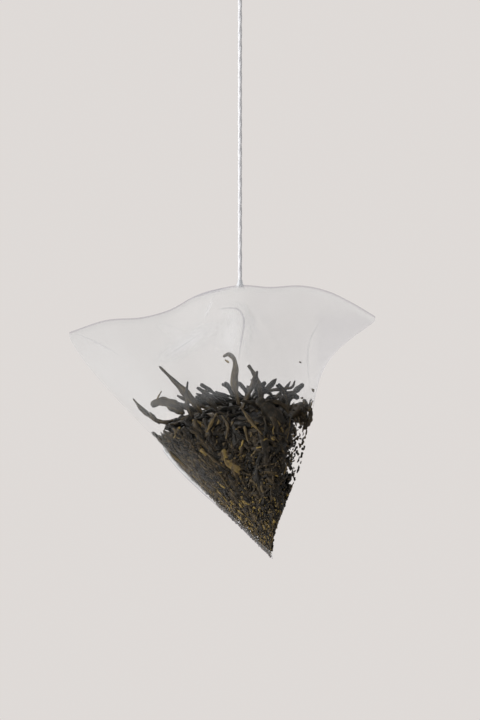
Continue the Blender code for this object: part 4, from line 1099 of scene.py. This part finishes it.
chance = np.random.default_rng(23)
angle = chance.uniform(-np.pi, np.pi, LOOSE_LEAVES)
reach = np.sqrt(chance.uniform(0.0, 1.0, LOOSE_LEAVES)) * rim_reach(angle)
share = np.linspace(-0.5, 0.5, LOOSE_RINGS)[None, :]
heading = chance.uniform(0.0, 2 * np.pi, (LOOSE_LEAVES, 1))
heading = heading + chance.normal(0.0, 0.5, (LOOSE_LEAVES, 1)) * share
size = chance.uniform(2.5 * MM, 6.0 * MM, (LOOSE_LEAVES, 1))
loose_x = (reach * np.cos(angle))[:, None] + size * share * np.cos(heading)
loose_y = (reach * np.sin(angle))[:, None] + size * share * np.sin(heading)
most = 0.99 * rim_reach(np.arctan2(loose_y, loose_x))
kept = np.minimum(1.0, most / np.hypot(loose_x, loose_y))
loose_x, loose_y = centre[0] + kept * loose_x, centre[1] + kept * loose_y
loose_z = heap_top(loose_x, loose_y) + chance.uniform(-0.8 * MM, 0.3 * MM, (LOOSE_LEAVES, 1))
loose_z = loose_z + chance.normal(0.0, 0.14, (LOOSE_LEAVES, 1)) * size * share
loose = rolled_pieces("loose_leaves", np.stack((loose_x, loose_y, loose_z), axis=-1),
                      *(chance.uniform(*span, LOOSE_LEAVES) for span in LOOSE_SIZES),
                      LOOSE_SIDES, chance, "packed_tea")
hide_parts("tea_bed")


# Floor. A plain pale sheet of paper that lies well below the bag and touches nothing. It fades into the
# backdrop with distance, so no edge of it shows.
FLOOR_DROP = 160.0 * MM
FLOOR_HALF = 1.5
FADE_START = 0.2                # distance from the middle at which the floor starts to fade, and ends
FADE_END = 0.9
PALE = (0.737, 0.703, 0.682)


def seen_ray(tree):
    """1 for rays from the camera, straight, mirrored or through glass, and 0 for rays that light things."""
    path = add_node(tree, "LightPath").outputs
    through = add_maths(tree, "MAXIMUM", path["Is Glossy Ray"], path["Is Transmission Ray"])
    return add_maths(tree, "MAXIMUM", path["Is Camera Ray"], through)


floor_z = cad_box[0][2] - FLOOR_DROP
floor_corners = FLOOR_HALF * np.array(((-1, -1, 0), (1, -1, 0), (1, 1, 0), (-1, 1, 0)))
floor_mesh = bpy.data.meshes.new("floor")
floor_mesh.from_pydata((floor_corners + floor_z * UP).tolist(), [], [(0, 1, 2, 3)])
floor_material, floor_tree, floor_surface = new_material("pale_floor")
floor_sheet = add_node(floor_tree, "BsdfDiffuse", {"Color": (*PALE, 1.0)})
floor_away = add_node(floor_tree, "Emission", {"Color": (*PALE, 1.0), "Strength": 1.0})
floor_place = add_node(floor_tree, "TexCoord").outputs["Object"]
floor_reach = add_node(floor_tree, "VectorMath", {0: floor_place}, operation="LENGTH").outputs["Value"]
floor_fade = add_node(floor_tree, "MapRange", {
    "Value": floor_reach, "From Min": FADE_START, "From Max": FADE_END},
    interpolation_type="SMOOTHSTEP").outputs["Result"]
floor_share = add_maths(floor_tree, "MULTIPLY", floor_fade, seen_ray(floor_tree))
floor_mix = add_node(floor_tree, "MixShader", {
    0: floor_share, 1: floor_sheet.outputs[0], 2: floor_away.outputs[0]})
floor_tree.links.new(floor_mix.outputs[0], floor_surface)
floor_mesh.materials.append(floor_material)
floor = bpy.data.objects.new("floor", floor_mesh)
bpy.context.scene.collection.objects.link(floor)


# Light. Soft daylight from the left and above, a weaker fill from the right, a lamp behind and a pale room
# all round. Each lamp is a square panel at a place seen from the bag, with its side in metres and its watts.
ROOM_LIGHT = 0.31
AIM_BELOW_SEAM = 20.0 * MM
LAMPS = (
    ("key", (-1.1, -0.42, 0.45), 0.6, 15.5),
    ("fill", (0.9, -0.8, 0.1), 0.9, 1.0),
    ("back", (-0.5, 0.8, 0.5), 0.8, 6.0),
)

world = bpy.data.worlds.new("pale_room")
bpy.context.scene.world = world
world.use_nodes = True
world.node_tree.nodes.clear()
room = add_node(world.node_tree, "Background", {"Color": (1.0, 1.0, 1.0, 1.0), "Strength": ROOM_LIGHT})
backdrop = add_node(world.node_tree, "Background", {"Color": (*PALE, 1.0), "Strength": 1.0})
sky = add_node(world.node_tree, "MixShader", {
    0: seen_ray(world.node_tree), 1: room.outputs[0], 2: backdrop.outputs[0]})
add_node(world.node_tree, "OutputWorld", {"Surface": sky.outputs[0]})

bag_middle = np.array((0.0, 0.0, seam_top_z - AIM_BELOW_SEAM))
for name, place, size, power in LAMPS:
    lamp = bpy.data.lights.new(name, "AREA")
    lamp.size = size
    lamp.energy = power
    lamp_object = bpy.data.objects.new(name, lamp)
    lamp_object.location = bag_middle + np.array(place)
    lamp_object.rotation_euler = Vector(-np.array(place)).to_track_quat("-Z", "Y").to_euler()
    lamp_object.visible_camera = False
    bpy.context.scene.collection.objects.link(lamp_object)

bpy.context.scene.view_settings.view_transform = "Standard"
